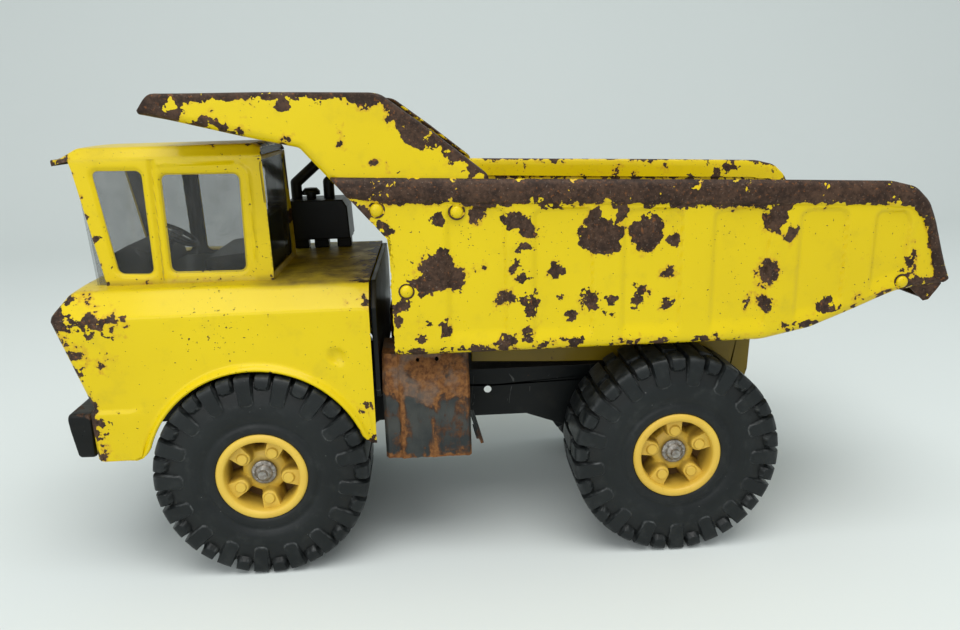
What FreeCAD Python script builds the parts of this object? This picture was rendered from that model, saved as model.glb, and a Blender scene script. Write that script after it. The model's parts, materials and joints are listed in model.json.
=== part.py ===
import FreeCAD, Part
import os
import Sketcher
from types import SimpleNamespace

# A pressed-steel toy dump truck on four knobbly tyres.
# +X is the front of the truck, +Y its left side, +Z up. The ground is z = 0 and x = 0 is
# half way along its length. All sizes are millimetres.

DOC = FreeCAD.newDocument("toy_dump_truck")

# ---------------------------------------------------------------- driving dimensions

SIZES = {
    # sheet metal
    "sheet": 1.0, "frame_sheet": 1.5, "rivet_radius": 3.6, "rivet_dome": 1.8,
    # wheels
    "wheel_radius": 62.0, "tyre_width": 46.0, "tyre_centre_y": 69.0, "tread_depth": 4.5,
    "groove_width": 8.0, "groove_reach": 19.0, "lug_count": 20, "tyre_wall": 5.0,
    "hub_radius": 25.0, "hub_inner_radius": 21.5, "hub_depth": 44.0, "hub_web": 2.4,
    "hub_web_y": 83.0, "hub_boss_radius": 7.0, "window_inner": 10.5, "window_outer": 20.5,
    "bolt_circle": 15.0, "bolt_radius": 3.1, "bolt_tall": 2.0, "lobe_radius": 5.2,
    "axle_radius": 2.5, "running_gap": 0.05, "axle_half": 88.0,
    "cap_radius": 7.4, "cap_tall": 3.4, "cap_gap": 0.4,
    "front_axle_x": 142.0, "rear_axle_x": -102.0,
    # chassis channel
    "frame_half": 38.0, "frame_top": 104.5, "frame_low": 73.0, "frame_axle_low": 52.0,
    "frame_front_x": 226.0, "frame_rear_x": -160.0, "frame_hole_x": 6.5, "frame_hole_z": 90.5,
    "frame_hole_radius": 2.4, "spacer_radius": 5.5,
    # hood and fender pressing
    "deck_top": 172.0, "deck_half": 73.0, "body_half": 85.0, "shoulder_z": 158.5,
    "body_rear_x": 74.5, "nose_x": 252.5, "nose_top_x": 242.5, "nose_z": 160.0,
    "face_foot_x": 235.0, "face_foot_z": 107.0, "skirt_low": 75.0, "skirt_front_x": 233.5,
    "arch_radius": 65.0, "arch_lip": 4.0, "arch_lip_thick": 1.4,
    # grille, lamps and bumper
    "grille_wide": 92.0, "grille_tall": 26.0, "grille_deep": 2.4, "grille_slats": 5,
    "lamp_radius": 8.0, "lamp_y": 62.0, "lamp_deep": 4.0, "face_lean": 18.0,
    "bumper_half": 80.0, "bumper_front_x": 255.0, "bumper_top": 100.5, "bumper_low": 75.5,
    "bumper_sweep": 4.2, "bumper_level_half": 30.0,
    # cab
    "cab_centre_y": 18.5, "cab_half_low": 41.5, "cab_half_high": 38.2, "cab_half_roof": 34.0,
    "cab_eave": 243.5,
    "cab_roof": 250.0, "cab_rear_x": 132.0, "cab_foot_x": 225.0, "cab_brow_x": 237.0,
    "cab_brow_z": 237.0, "visor_x": 248.0, "visor_z": 243.0, "sill_z": 178.0,
    "lintel_z": 235.0, "glass": 1.0, "glass_gap": 0.3, "glass_foot_x": 231.0,
    "steering_x": 196.0, "steering_z": 194.5, "steering_radius": 12.5,
    "steering_rim": 1.5, "steering_rake": 30.0,
    # engine on the deck
    "engine_x": 115.5, "engine_y": -51.0, "engine_long": 42.0, "engine_wide": 34.0,
    "engine_low": 180.0, "engine_high": 207.0, "pipe_radius": 3.8, "pipe_front_x": 131.5,
    "pipe_rear_x": 109.0, "pipe_top": 218.0, "pipe_front_reach": 23.0, "pipe_rear_reach": 13.0,
    "cap_x": 121.5,
    # closing panel and side steps behind the fenders
    "bulkhead_x": 71.5, "bulkhead_low": 104.5, "bulkhead_high": 171.0, "bulkhead_half": 80.0,
    "step_front_x": 70.5, "step_rear_x": 19.5, "step_low": 66.0, "step_high": 128.0,
    "step_outer": 85.0, "step_inner": 38.0, "step_bevel_y": 75.0, "step_bevel_z": 112.0,
    "step_nose_x": 60.0,
    # dump bed
    "bed_half": 95.0, "rim_half": 97.5, "bed_sheet": 1.2, "bed_floor": 133.0,
    "bed_front_x": 61.5, "bed_knee_z": 197.0, "rim_front_x": 90.0, "rim_front_z": 232.0,
    "rim_tail_x": -216.0, "rim_tail_z": 221.0, "tail_x": -255.0, "tail_z": 164.0,
    "tail_break_x": -155.0, "rim_tall": 14.0, "tail_low_x": -252.0, "tail_lip_z": 151.0,
    "rib_rise": 1.2, "rib_count": 6, "rib_first_x": 40.0, "rib_pitch": -48.0, "rib_wide": 14.0,
    # canopy over the cab, one pressing with the front wall of the bed
    "wing_half": 93.5, "canopy_tip_x": 185.5, "canopy_tip_z": 267.5, "canopy_top_z": 277.0,
    "canopy_rear_x": 63.5, "canopy_rear_z": 274.0, "wing_foot_x": 6.0, "wing_foot_z": 231.0,
    # hinge
    "hinge_x": -150.0, "hinge_z": 95.0, "hinge_radius": 2.5, "ear_inner": 40.0,
    "ear_outer": 41.5, "hinge_pin_half": 44.0, "ear_low": 86.0,
}


class Size:
    """A length that carries both its value and its formula in terms of the sheet."""

    def __init__(self, formula, value):
        self.formula = formula
        self.value = float(value)

    def _join(self, sign, left, right, value):
        return Size("(%s %s %s)" % (left, sign, right), value)

    def __add__(self, other):
        other = size(other)
        return self._join("+", self.formula, other.formula, self.value + other.value)

    def __radd__(self, other):
        return size(other) + self

    def __sub__(self, other):
        other = size(other)
        return self._join("-", self.formula, other.formula, self.value - other.value)

    def __rsub__(self, other):
        return size(other) - self

    def __mul__(self, other):
        other = size(other)
        return self._join("*", self.formula, other.formula, self.value * other.value)

    def __rmul__(self, other):
        return size(other) * self

    def __truediv__(self, other):
        other = size(other)
        return self._join("/", self.formula, other.formula, self.value / other.value)

    def __neg__(self):
        return size(0) - self


def size(value):
    """Any number or Size as a Size."""
    if isinstance(value, Size):
        return value
    return Size(repr(float(value)), value)


def fill_sheet():
    sheet = DOC.addObject("Spreadsheet::Sheet", "Sizes")
    for row, (alias, value) in enumerate(SIZES.items(), start=1):
        sheet.set("A%d" % row, alias)
        sheet.set("B%d" % row, str(value))
        sheet.setAlias("B%d" % row, alias)
    DOC.recompute()
    return SimpleNamespace(**{a: Size("Sizes." + a, v) for a, v in SIZES.items()})


S = fill_sheet()


def bind(obj, prop, value):
    """Ties a property to the sheet."""
    obj.setExpression(prop, size(value).formula)


# ---------------------------------------------------------------- drawing tools

def new_body(name):
    return DOC.addObject("PartDesign::Body", name)


def origin_feature(body, role):
    return [f for f in body.Origin.OriginFeatures if f.Role == role][0]


def new_sketch(body, plane, name, offset=0):
    """An empty sketch on one of the body's own origin planes, moved along its normal."""
    sketch = body.newObject("Sketcher::SketchObject", name)
    sketch.AttachmentSupport = [(origin_feature(body, plane), "")]
    sketch.MapMode = "FlatFace"
    bind(sketch, ".AttachmentOffset.Base.z", offset)
    return sketch


def fix_point(sketch, edge, vertex, point):
    """Holds one sketch point at its distances from the origin."""
    for kind, value in zip(("DistanceX", "DistanceY"), map(size, point)):
        index = sketch.addConstraint(
            Sketcher.Constraint(kind, -1, 1, edge, vertex, value.value))
        sketch.setExpression("Constraints[%d]" % index, value.formula)


def draw_outline(sketch, points):
    """A closed outline of straight lines, each corner bound to the sheet."""
    first = sketch.GeometryCount
    places = [FreeCAD.Vector(size(u).value, size(v).value, 0) for u, v in points]
    count = len(places)
    for i in range(count):
        sketch.addGeometry(Part.LineSegment(places[i], places[(i + 1) % count]), False)
    for i in range(count):
        following = first + (i + 1) % count
        sketch.addConstraint(Sketcher.Constraint("Coincident", first + i, 2, following, 1))
        fix_point(sketch, first + i, 1, points[i])


def draw_circle(sketch, centre, radius):
    edge = sketch.GeometryCount
    middle = FreeCAD.Vector(size(centre[0]).value, size(centre[1]).value, 0)
    normal = FreeCAD.Vector(0, 0, 1)
    sketch.addGeometry(Part.Circle(middle, normal, size(radius).value), False)
    fix_point(sketch, edge, 3, centre)
    index = sketch.addConstraint(Sketcher.Constraint("Radius", edge, size(radius).value))
    sketch.setExpression("Constraints[%d]" % index, size(radius).formula)


def extrude(body, kind, plane, name, start, end, outlines=(), circles=()):
    """A Pad or Pocket of outlines and circles between two stations on the plane's world axis.

    The XZ plane's normal points along -Y, so its stations are turned round.
    """
    start, end = size(start), size(end)
    low = -end if plane == "XZ_Plane" else start
    sketch = new_sketch(body, plane, name + "_sketch", low)
    for outline in outlines:
        draw_outline(sketch, outline)
    for centre, radius in circles:
        draw_circle(sketch, centre, radius)
    feature = body.newObject("PartDesign::" + kind, name)
    feature.Profile = sketch
    bind(feature, "Length", end - start)
    feature.Reversed = kind == "Pocket"
    body.Tip = feature
    return feature


def pad(body, plane, name, start, end, outlines=(), circles=()):
    return extrude(body, "Pad", plane, name, start, end, outlines, circles)


def pocket(body, plane, name, start, end, outlines=(), circles=()):
    return extrude(body, "Pocket", plane, name, start, end, outlines, circles)


def revolve_about_y(body, name, outline):
    """Turns an outline of (radius, y) points about the Y axis."""
    sketch = new_sketch(body, "XY_Plane", name + "_sketch")
    draw_outline(sketch, outline)
    turned = body.newObject("PartDesign::Revolution", name)
    turned.Profile = sketch
    turned.ReferenceAxis = (sketch, ["V_Axis"])
    turned.Angle = 360
    body.Tip = turned
    return turned


def polar_about_y(body, name, features, count):
    pattern = body.newObject("PartDesign::PolarPattern", name)
    pattern.Originals = features
    pattern.Axis = (origin_feature(body, "Y_Axis"), [""])
    pattern.Angle = 360
    bind(pattern, "Occurrences", count)
    body.Tip = pattern
    return pattern


def finish_edges(body, kind, name, amount, chosen):
    """Fillets or chamfers the edges of the body's tip that the test picks."""
    DOC.recompute()
    tip = body.Tip
    names = ["Edge%d" % (i + 1) for i, edge in enumerate(tip.Shape.Edges) if chosen(edge)]
    if not names:
        raise ValueError("no edge to finish in " + name)
    feature = body.newObject("PartDesign::" + kind, name)
    feature.Base = (tip, names)
    bind(feature, "Radius" if kind == "Fillet" else "Size", amount)
    body.Tip = feature
    return feature


def runs_along(edge, axis):
    """True for a straight edge parallel to an axis: 0 is X, 1 is Y, 2 is Z."""
    if not isinstance(edge.Curve, Part.Line):
        return False
    return abs(abs(edge.Curve.Direction[axis]) - 1) < 1e-6


def combine(kind, name, base, tool):
    """A Cut or Common of two objects."""
    result = DOC.addObject("Part::" + kind, name)
    result.Base = base
    result.Tool = tool
    return result


def fuse(name, pieces):
    result = DOC.addObject("Part::MultiFuse", name)
    result.Shapes = pieces
    result.Refine = True
    return result


def rod(name, radius, low, high, axis="Z", at=(0, 0)):
    """A round bar between two stations on an axis."""
    bar = DOC.addObject("Part::Cylinder", name)
    bind(bar, "Radius", radius)
    bind(bar, "Height", size(high) - low)
    turn = {"Z": (0, 0, 1, 0), "Y": (1, 0, 0, -90), "X": (0, 1, 0, 90)}[axis]
    bar.Placement.Rotation = FreeCAD.Rotation(FreeCAD.Vector(*turn[:3]), turn[3])
    across = [letter for letter in "xyz" if letter != axis.lower()]
    for letter, value in zip(across, at):
        bind(bar, "Placement.Base." + letter, value)
    bind(bar, "Placement.Base." + axis.lower(), low)
    return bar


def block(name, low, high):
    """A box between two corners."""
    box = DOC.addObject("Part::Box", name)
    for side, letter, start, end in zip(("Length", "Width", "Height"), "xyz", low, high):
        bind(box, side, size(end) - start)
        bind(box, "Placement.Base." + letter, start)
    return box


def placed_copy(source, name, at, turned=False):
    """The same piece again, moved, and turned half round about Z for the right side."""
    copy = DOC.addObject("Part::Compound", name)
    copy.Links = [source]
    if turned:
        copy.Placement.Rotation = FreeCAD.Rotation(FreeCAD.Vector(0, 0, 1), 180)
    for letter, value in zip("xyz", at):
        bind(copy, "Placement.Base." + letter, value)
    return copy


def mirrored(source, name):
    """The right-hand twin of a left-hand piece."""
    twin = DOC.addObject("Part::Mirroring", name)
    twin.Source = source
    twin.Normal = FreeCAD.Vector(0, 1, 0)
    twin.Base = FreeCAD.Vector(0, 0, 0)
    return twin


def rectangle(low_u, high_u, low_v, high_v):
    return [(low_u, low_v), (high_u, low_v), (high_u, high_v), (low_u, high_v)]


NODES = {}


def node(name, obj):
    """Marks an object as a finished sub-part of the truck."""
    obj.Label = name
    NODES[name] = obj
    return obj


# ---------------------------------------------------------------- wheels and axles

def make_tyre():
    """One moulded tyre about its own centre, with staggered grooves on both shoulders."""
    body = new_body("tyre_pattern")
    half = S.tyre_width / 2
    outer = S.wheel_radius
    inner = outer - S.tread_depth - S.tyre_wall
    half_outline = [
        (S.hub_radius, half - 8), (S.hub_radius, half - 4), (S.hub_radius + 5, half - 3.5),
        (S.hub_radius + 11, half), (outer - 11, half), (outer - 1.2, half - 1.2),
        (outer, half - 9),
    ]
    cavity = [(inner - 5, half - 8), (inner, half - 12)]
    upper = half_outline + [(r, -y) for r, y in reversed(half_outline)]
    lower = [(r, -y) for r, y in cavity] + list(reversed(cavity))
    revolve_about_y(body, "tyre_ring", upper + lower)
    floor = outer - S.tread_depth
    reach = S.groove_width / 2
    groove = [(floor, -reach), (outer + 3, -(reach * 1.25)), (outer + 3, reach * 1.25),
              (floor, reach)]
    left = pocket(body, "XZ_Plane", "left_groove", half - S.groove_reach, half + 1, [groove])
    left.Reversed = True
    polar_about_y(body, "left_grooves", [left], S.lug_count)
    pitch = FreeCAD.Rotation(FreeCAD.Vector(0, 0, 1), 180.0 / SIZES["lug_count"])
    right = pocket(body, "XZ_Plane", "right_groove", -half - 1, S.groove_reach - half, [groove])
    right.Profile[0].AttachmentOffset.Rotation = pitch
    polar_about_y(body, "right_grooves", [right], S.lug_count)
    return body


def make_hub():
    """One moulded hub about the wheel's centre, its dish facing +Y."""
    body = new_body("hub_pattern")
    rim_y = S.tyre_width / 2 - 1
    back_y = rim_y - S.hub_depth
    web_y = S.hub_web_y - S.tyre_centre_y
    bore = S.axle_radius + S.running_gap
    revolve_about_y(body, "hub_turning", [
        (bore, back_y + 1), (S.hub_boss_radius, back_y + 1),
        (S.hub_boss_radius, web_y - S.hub_web), (S.hub_inner_radius, web_y - S.hub_web - 3),
        (S.hub_inner_radius, back_y + 4), (S.hub_radius - 0.2, back_y + 4),
        (S.hub_radius - 0.2, rim_y - 2.9), (S.hub_radius + 1.5, rim_y - 2.4),
        (S.hub_radius + 1.2, rim_y - 0.6), (S.hub_radius, rim_y), (S.hub_inner_radius, rim_y),
        (S.hub_inner_radius - 0.6, web_y), (S.hub_boss_radius, web_y - 1.6),
        (bore, web_y - 1.6),
    ])
    window = [(S.window_inner, -2.2), (S.window_outer, -5.2), (S.window_outer, 5.2),
              (S.window_inner, 2.2)]
    opening = pocket(body, "XZ_Plane", "window", web_y - 8, web_y + 1, [window])
    polar_about_y(body, "windows", [opening], 5)
    turn = FreeCAD.Rotation(FreeCAD.Vector(0, 0, 1), 36)
    lobe = pad(body, "XZ_Plane", "lobe", web_y - 1, web_y + 1.4,
               circles=[((S.bolt_circle, 0), S.lobe_radius)])
    bolt = pad(body, "XZ_Plane", "bolt", web_y - 1, web_y + 1.4 + S.bolt_tall,
               circles=[((S.bolt_circle, 0), S.bolt_radius)])
    for feature in (lobe, bolt):
        feature.Profile[0].AttachmentOffset.Rotation = turn
    polar_about_y(body, "lobes", [lobe, bolt], 5)
    return body


def make_axle_cap():
    """A pressed push nut with its domed face towards +Y, about the axle's end."""
    body = new_body("axle_cap_pattern")
    revolve_about_y(body, "cap_turning", [
        (S.axle_radius, 0), (S.cap_radius, 0), (S.cap_radius, S.cap_tall * 0.35),
        (S.cap_radius - 1, S.cap_tall * 0.75), (S.cap_radius - 3, S.cap_tall),
        (S.axle_radius, S.cap_tall)])
    return body


def make_wheels():
    tyre, hub, cap = make_tyre(), make_hub(), make_axle_cap()
    web_front = S.hub_web_y - 1.6
    for end, x in (("front", S.front_axle_x), ("rear", S.rear_axle_x)):
        node(end + "_axle", rod(end + "_axle_rod", S.axle_radius, -S.axle_half, S.axle_half,
                                "Y", (x, S.wheel_radius)))
        for side, turned in (("left", False), ("right", True)):
            sign = -1 if turned else 1
            centre = (x, S.tyre_centre_y * sign, S.wheel_radius)
            cap_place = (x, (web_front + S.cap_gap) * sign, S.wheel_radius)
            place = "%s_%s" % (end, side)
            node("tyre_" + place, placed_copy(tyre, "tyre_at_" + place, centre, turned))
            node("hub_" + place, placed_copy(hub, "hub_at_" + place, centre, turned))
            node("axle_cap_" + place, placed_copy(cap, "cap_at_" + place, cap_place, turned))


def make_axle_spacers():
    """Four loose tubes that keep the wheels clear of the chassis."""
    hub_back = S.tyre_centre_y + S.tyre_width / 2 - S.hub_depth
    body = new_body("axle_spacer_ring")
    revolve_about_y(body, "spacer_turning", rectangle(
        S.axle_radius, S.spacer_radius, S.frame_half, hub_back - S.cap_gap))
    copies = []
    for end, x in (("front", S.front_axle_x), ("rear", S.rear_axle_x)):
        for side, turned in (("left", False), ("right", True)):
            copies.append(placed_copy(body, "spacer_%s_%s" % (end, side),
                                      (x, 0, S.wheel_radius), turned))
    group = DOC.addObject("Part::Compound", "axle_spacer_group")
    group.Links = copies
    node("axle_spacers", group)


# ---------------------------------------------------------------- chassis

def make_chassis_frame():
    """A channel with its web on top, deeper at both axles."""
    body = new_body("chassis_channel")
    front_drop, rear_drop = S.front_axle_x - 26, S.rear_axle_x + 26
    outline = [
        (S.frame_rear_x, S.frame_top), (S.frame_rear_x, S.ear_low),
        (S.rear_axle_x - 26, S.frame_axle_low), (rear_drop, S.frame_axle_low),
        (rear_drop + 58, S.frame_low), (front_drop - 40, S.frame_low),
        (front_drop, S.frame_axle_low), (S.front_axle_x + 26, S.frame_axle_low),
        (S.front_axle_x + 50, S.frame_low + 6), (S.frame_front_x, S.frame_low + 6),
        (S.frame_front_x, S.frame_top),
    ]
    pad(body, "XZ_Plane", "channel", -S.frame_half, S.frame_half, [outline])
    inside = S.frame_half - S.frame_sheet
    pocket(body, "XZ_Plane", "hollow", -inside, inside,
           [rectangle(S.frame_rear_x - 5, S.frame_front_x + 5, 0, S.frame_top - S.frame_sheet)])
    pocket(body, "XZ_Plane", "holes", -S.frame_half - 1, S.frame_half + 1, circles=[
        ((S.front_axle_x, S.wheel_radius), S.axle_radius),
        ((S.rear_axle_x, S.wheel_radius), S.axle_radius),
        ((S.hinge_x, S.hinge_z), S.hinge_radius),
        ((S.frame_hole_x, S.frame_hole_z), S.frame_hole_radius)])
    node("chassis_frame", body)


# ---------------------------------------------------------------- hood and fenders

def fender_block(name, inset):
    """The solid inside the fender pressing's outer skin, drawn in by the inset."""
    side = new_body(name + "_side")
    pad(side, "XZ_Plane", name + "_side_pad", -S.body_half - 5, S.body_half + 5, [[
        (S.body_rear_x - inset * 9, S.skirt_low - inset * 9),
        (S.body_rear_x - inset * 9, S.deck_top - inset),
        (S.nose_top_x - inset, S.deck_top - 2 - inset), (S.nose_x - inset, S.nose_z),
        (S.face_foot_x - inset, S.face_foot_z), (S.skirt_front_x - inset, S.face_foot_z - 4),
        (S.skirt_front_x - inset, S.skirt_low + 7), (S.skirt_front_x - 5 - inset,
                                                     S.skirt_low - inset * 9)]])
    front = new_body(name + "_front")
    half = S.body_half - inset
    top = S.deck_half - inset * 0.6
    pad(front, "YZ_Plane", name + "_front_pad", 0, S.nose_x + 20, [[
        (-half, 0), (half, 0), (half, S.shoulder_z - inset * 0.4), (top, S.deck_top - inset),
        (-top, S.deck_top - inset), (-half, S.shoulder_z - inset * 0.4)]])
    return combine("Common", name, side, front)


def make_body_shell():
    """The hood and fender pressing: a thin skin, open below and behind, with two arches."""
    skin = combine("Cut", "body_skin", fender_block("fender_outer", size(0)),
                   fender_block("fender_inner", S.sheet))
    arch = rod("arch_cutter", S.arch_radius, -S.body_half - 5, S.body_half + 5, "Y",
               (S.front_axle_x, S.wheel_radius))
    opened = combine("Cut", "body_with_arches", skin, arch)
    lip = new_body("arch_lip_ring")
    pad(lip, "XZ_Plane", "arch_lip_pad", S.body_half - S.sheet, S.body_half + S.arch_lip,
        circles=[((S.front_axle_x, S.wheel_radius), S.arch_radius + S.arch_lip_thick),
                 ((S.front_axle_x, S.wheel_radius), S.arch_radius)])
    pocket(lip, "XZ_Plane", "arch_lip_trim", 0, S.body_half + 20,
           [rectangle(S.front_axle_x - 90, S.front_axle_x + 90, -10, S.skirt_low + 8)])
    node("body_shell", fuse("body_pressing", [opened, lip, mirrored(lip, "arch_lip_right")]))


def make_bumper():
    """A hollow bumper with swept-back ends that stands against the fender pressing."""
    body = new_body("bumper_channel")
    back, front = S.face_foot_x + 0.4, S.bumper_front_x
    pad(body, "XZ_Plane", "bumper_pad", -S.bumper_half, S.bumper_half, [[
        (back, S.bumper_top), (front - 1.5, S.bumper_top), (front, S.bumper_top - 2),
        (front - 3, S.bumper_low + 1.5), (front - 4.5, S.bumper_low), (back, S.bumper_low)]])
    pocket(body, "XY_Plane", "bumper_ends", S.bumper_low - 1, S.bumper_top + 1, [[
        (front, S.bumper_level_half * sign), (front + 1, S.bumper_level_half * sign),
        (front + 1, (S.bumper_half + 1) * sign),
        (front - S.bumper_sweep, (S.bumper_half + 1) * sign)] for sign in (1, -1)])
    inside = S.bumper_half - 1.5
    pocket(body, "XZ_Plane", "bumper_hollow", -inside, inside, [[
        (back - 3, S.bumper_top - 1.5), (front - 8, S.bumper_top - 1.5),
        (front - 10.5, S.bumper_low + 1.5), (back - 3, S.bumper_low + 1.5)]])
    node("front_bumper", body)


def on_front_face(name, source, height_up):
    """Stands a piece drawn about the YZ plane on the leaning front face."""
    placed = DOC.addObject("Part::Compound", name)
    placed.Links = [source]
    placed.Placement.Rotation = FreeCAD.Rotation(FreeCAD.Vector(0, 1, 0), SIZES["face_lean"])
    share = size(height_up)
    run = (S.nose_x - S.face_foot_x) / (S.nose_z - S.face_foot_z)
    bind(placed, "Placement.Base.x", S.face_foot_x + run * (share - S.face_foot_z) + 0.1)
    bind(placed, "Placement.Base.z", share)
    return placed


def make_grille_and_lamps():
    grille = new_body("grille_plate")
    half, tall = S.grille_wide / 2, S.grille_tall / 2
    pad(grille, "YZ_Plane", "grille_pad", 0, S.grille_deep, [rectangle(-half, half, -tall, tall)])
    pitch = (S.grille_tall - 5) / S.grille_slats
    slots = [rectangle(-half + 3, half - 3, -tall + 3 + pitch * i, -tall + 1 + pitch * (i + 1))
             for i in range(SIZES["grille_slats"])]
    pocket(grille, "YZ_Plane", "grille_slots", 1, S.grille_deep + 1, slots)
    node("grille", on_front_face("grille_on_face", grille, 134))
    lamps = new_body("lamp_left")
    pad(lamps, "YZ_Plane", "lamp_pad", 0, S.lamp_deep, circles=[((S.lamp_y, 0), S.lamp_radius)])
    finish_edges(lamps, "Fillet", "lamp_round", 1.5,
                 lambda e: abs(e.BoundBox.XMin - SIZES["lamp_deep"]) < 1e-6
                 and e.Length > 10)
    node("headlamp_left", on_front_face("lamp_left_on_face", lamps, 134))
    node("headlamp_right", mirrored(NODES["headlamp_left"], "lamp_right_on_face"))


# ---------------------------------------------------------------- cab

def cab_block(name, inset, foot_x, brow_x):
    """The cab's solid outline, drawn in by the inset."""
    side = new_body(name + "_side")
    deck, middle = S.deck_top + 0.02, S.cab_centre_y
    pad(side, "XZ_Plane", name + "_side_pad", middle - S.cab_half_low - 5,
        middle + S.cab_half_low + 5, [[
            (S.cab_rear_x + inset, deck), (foot_x, deck), (brow_x, S.cab_brow_z),
            (brow_x + 1, S.cab_roof - 1 - inset), (S.cab_rear_x + inset, S.cab_roof - inset)]])
    front = new_body(name + "_front")
    low, high, roof = (half - inset for half in
                       (S.cab_half_low, S.cab_half_high, S.cab_half_roof))
    top = S.cab_roof - inset
    half_outline = [(low, S.deck_top), (high, S.cab_eave), (roof, top - 1.5), (roof * 0.5, top)]
    pad(front, "YZ_Plane", name + "_front_pad", S.cab_rear_x - 5, S.visor_x + 5, [
        [(middle + y, z) for y, z in half_outline]
        + [(middle - y, z) for y, z in reversed(half_outline)]])
    return combine("Common", name, side, front)


def make_cab_shell():
    """Two sides, a roof with a visor, and open window frames all round."""
    outer = cab_block("cab_outer", size(0), S.cab_foot_x, S.cab_brow_x)
    inner = cab_block("cab_inner", S.sheet, S.cab_foot_x - 1, S.cab_brow_x - 1)
    skin = combine("Cut", "cab_skin", outer, inner)
    sides = new_body("side_window_cutter")
    rake = (S.cab_brow_x - S.cab_foot_x) / (S.cab_brow_z - S.deck_top)
    low_front = S.cab_foot_x - 7 + rake * (S.sill_z - S.deck_top)
    high_front = S.cab_foot_x - 9 + rake * (S.lintel_z - S.deck_top)
    middle = S.cab_centre_y
    pad(sides, "XZ_Plane", "side_window_pad", middle - S.cab_half_low - 9,
        middle + S.cab_half_low + 9, [
        [(198.5, S.sill_z), (low_front, S.sill_z), (high_front, S.lintel_z + 1),
         (199.5, S.lintel_z + 1)],
        [(146.0, S.sill_z), (188.5, S.sill_z), (189.0, S.lintel_z - 1.5),
         (145.5, S.lintel_z - 1.5)]])
    finish_edges(sides, "Fillet", "side_window_corners", 4, lambda e: runs_along(e, 1))
    rear = new_body("rear_window_cutter")
    wide = S.cab_half_high - 5
    pad(rear, "YZ_Plane", "rear_window_pad", S.cab_rear_x - 9, S.cab_rear_x + 9,
        [rectangle(middle - wide, middle + wide, S.sill_z, S.lintel_z)])
    finish_edges(rear, "Fillet", "rear_window_corners", 5, lambda e: runs_along(e, 0))
    front = new_body("windshield_cutter")
    low, high = S.cab_half_low - S.sheet, S.cab_half_high - S.sheet + 0.3
    pad(front, "YZ_Plane", "windshield_pad", S.cab_foot_x - 3, S.visor_x + 9, [[
        (middle - low, S.deck_top), (middle + low, S.deck_top),
        (middle + high, S.cab_brow_z + 0.5), (middle - high, S.cab_brow_z + 0.5)]])
    framed = combine("Cut", "cab_with_sides_open", skin, sides)
    framed = combine("Cut", "cab_with_rear_open", framed, rear)
    framed = combine("Cut", "cab_with_front_open", framed, front)
    visor = new_body("visor_lip")
    pad(visor, "XZ_Plane", "visor_pad", middle - S.cab_half_roof, middle + S.cab_half_roof, [[
        (S.cab_brow_x, S.cab_roof - 1.6), (S.visor_x - 3, S.cab_roof - 3),
        (S.visor_x, S.visor_z), (S.visor_x - 1.2, S.visor_z - 0.4),
        (S.visor_x - 4, S.cab_roof - 4), (S.cab_brow_x, S.cab_roof - 2.8)]])
    node("cab_shell", fuse("cab_pressing", [framed, visor]))


def make_cab_glazing():
    """One clear moulding that lines the cab and bulges out as the windshield."""
    gap = S.sheet + S.glass_gap
    outer = cab_block("glass_outer", gap, S.glass_foot_x, S.cab_brow_x - gap)
    inner = cab_block("glass_inner", gap + S.glass, S.glass_foot_x - S.glass,
                      S.cab_brow_x - gap - S.glass)
    node("cab_glazing", combine("Cut", "glazing", outer, inner))


def make_cab_interior():
    """The dark moulding in the cab: floor, dashboard and bench seat."""
    body = new_body("cab_tub")
    rear = S.cab_rear_x + 4.5
    floor = S.deck_top + 0.02
    half, middle = S.cab_half_low - 7, S.cab_centre_y
    pad(body, "XZ_Plane", "tub_pad", middle - half, middle + half, [[
        (rear, floor), (S.cab_foot_x - 2, floor), (S.cab_foot_x, floor + 16),
        (S.cab_foot_x - 12, floor + 22), (S.cab_foot_x - 22, floor + 17),
        (S.cab_foot_x - 24, floor + 4), (rear + 34, floor + 4), (rear + 34, floor + 13),
        (rear + 11, floor + 15), (rear + 7, floor + 34), (rear, floor + 34)]])
    finish_edges(body, "Fillet", "tub_round", 1.5, lambda e: runs_along(e, 1)
                 and e.CenterOfMass.z > SIZES["deck_top"] + 6)
    node("cab_interior", body)


def make_steering():
    """Wheel and column, raked towards the seat."""
    rake = SIZES["steering_rake"]
    tilt = FreeCAD.Rotation(FreeCAD.Vector(0, 1, 0), -rake)
    wheel = DOC.addObject("Part::Torus", "steering_ring")
    bind(wheel, "Radius1", S.steering_radius)
    bind(wheel, "Radius2", S.steering_rim)
    hub = rod("steering_hub", 3.5, -1.5, 1.5)
    spokes = [block("steering_spoke_%d" % i, low, high) for i, (low, high) in enumerate((
        ((-1.2, -S.steering_radius, -0.8), (1.2, S.steering_radius, 0.8)),
        ((-S.steering_radius, -1.2, -0.8), (0, 1.2, 0.8))))]
    joined = fuse("steering_wheel_fused", [wheel, hub] + spokes)
    column = rod("steering_tube", 1.8, -16, -1.5)
    for name, piece in (("steering_wheel", joined), ("steering_column", column)):
        placed = DOC.addObject("Part::Compound", name + "_placed")
        placed.Links = [piece]
        placed.Placement.Rotation = tilt
        for letter, value in zip("xyz", (S.steering_x, S.cab_centre_y, S.steering_z)):
            bind(placed, "Placement.Base." + letter, value)
        node(name, placed)


# ---------------------------------------------------------------- engine on the deck

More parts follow.
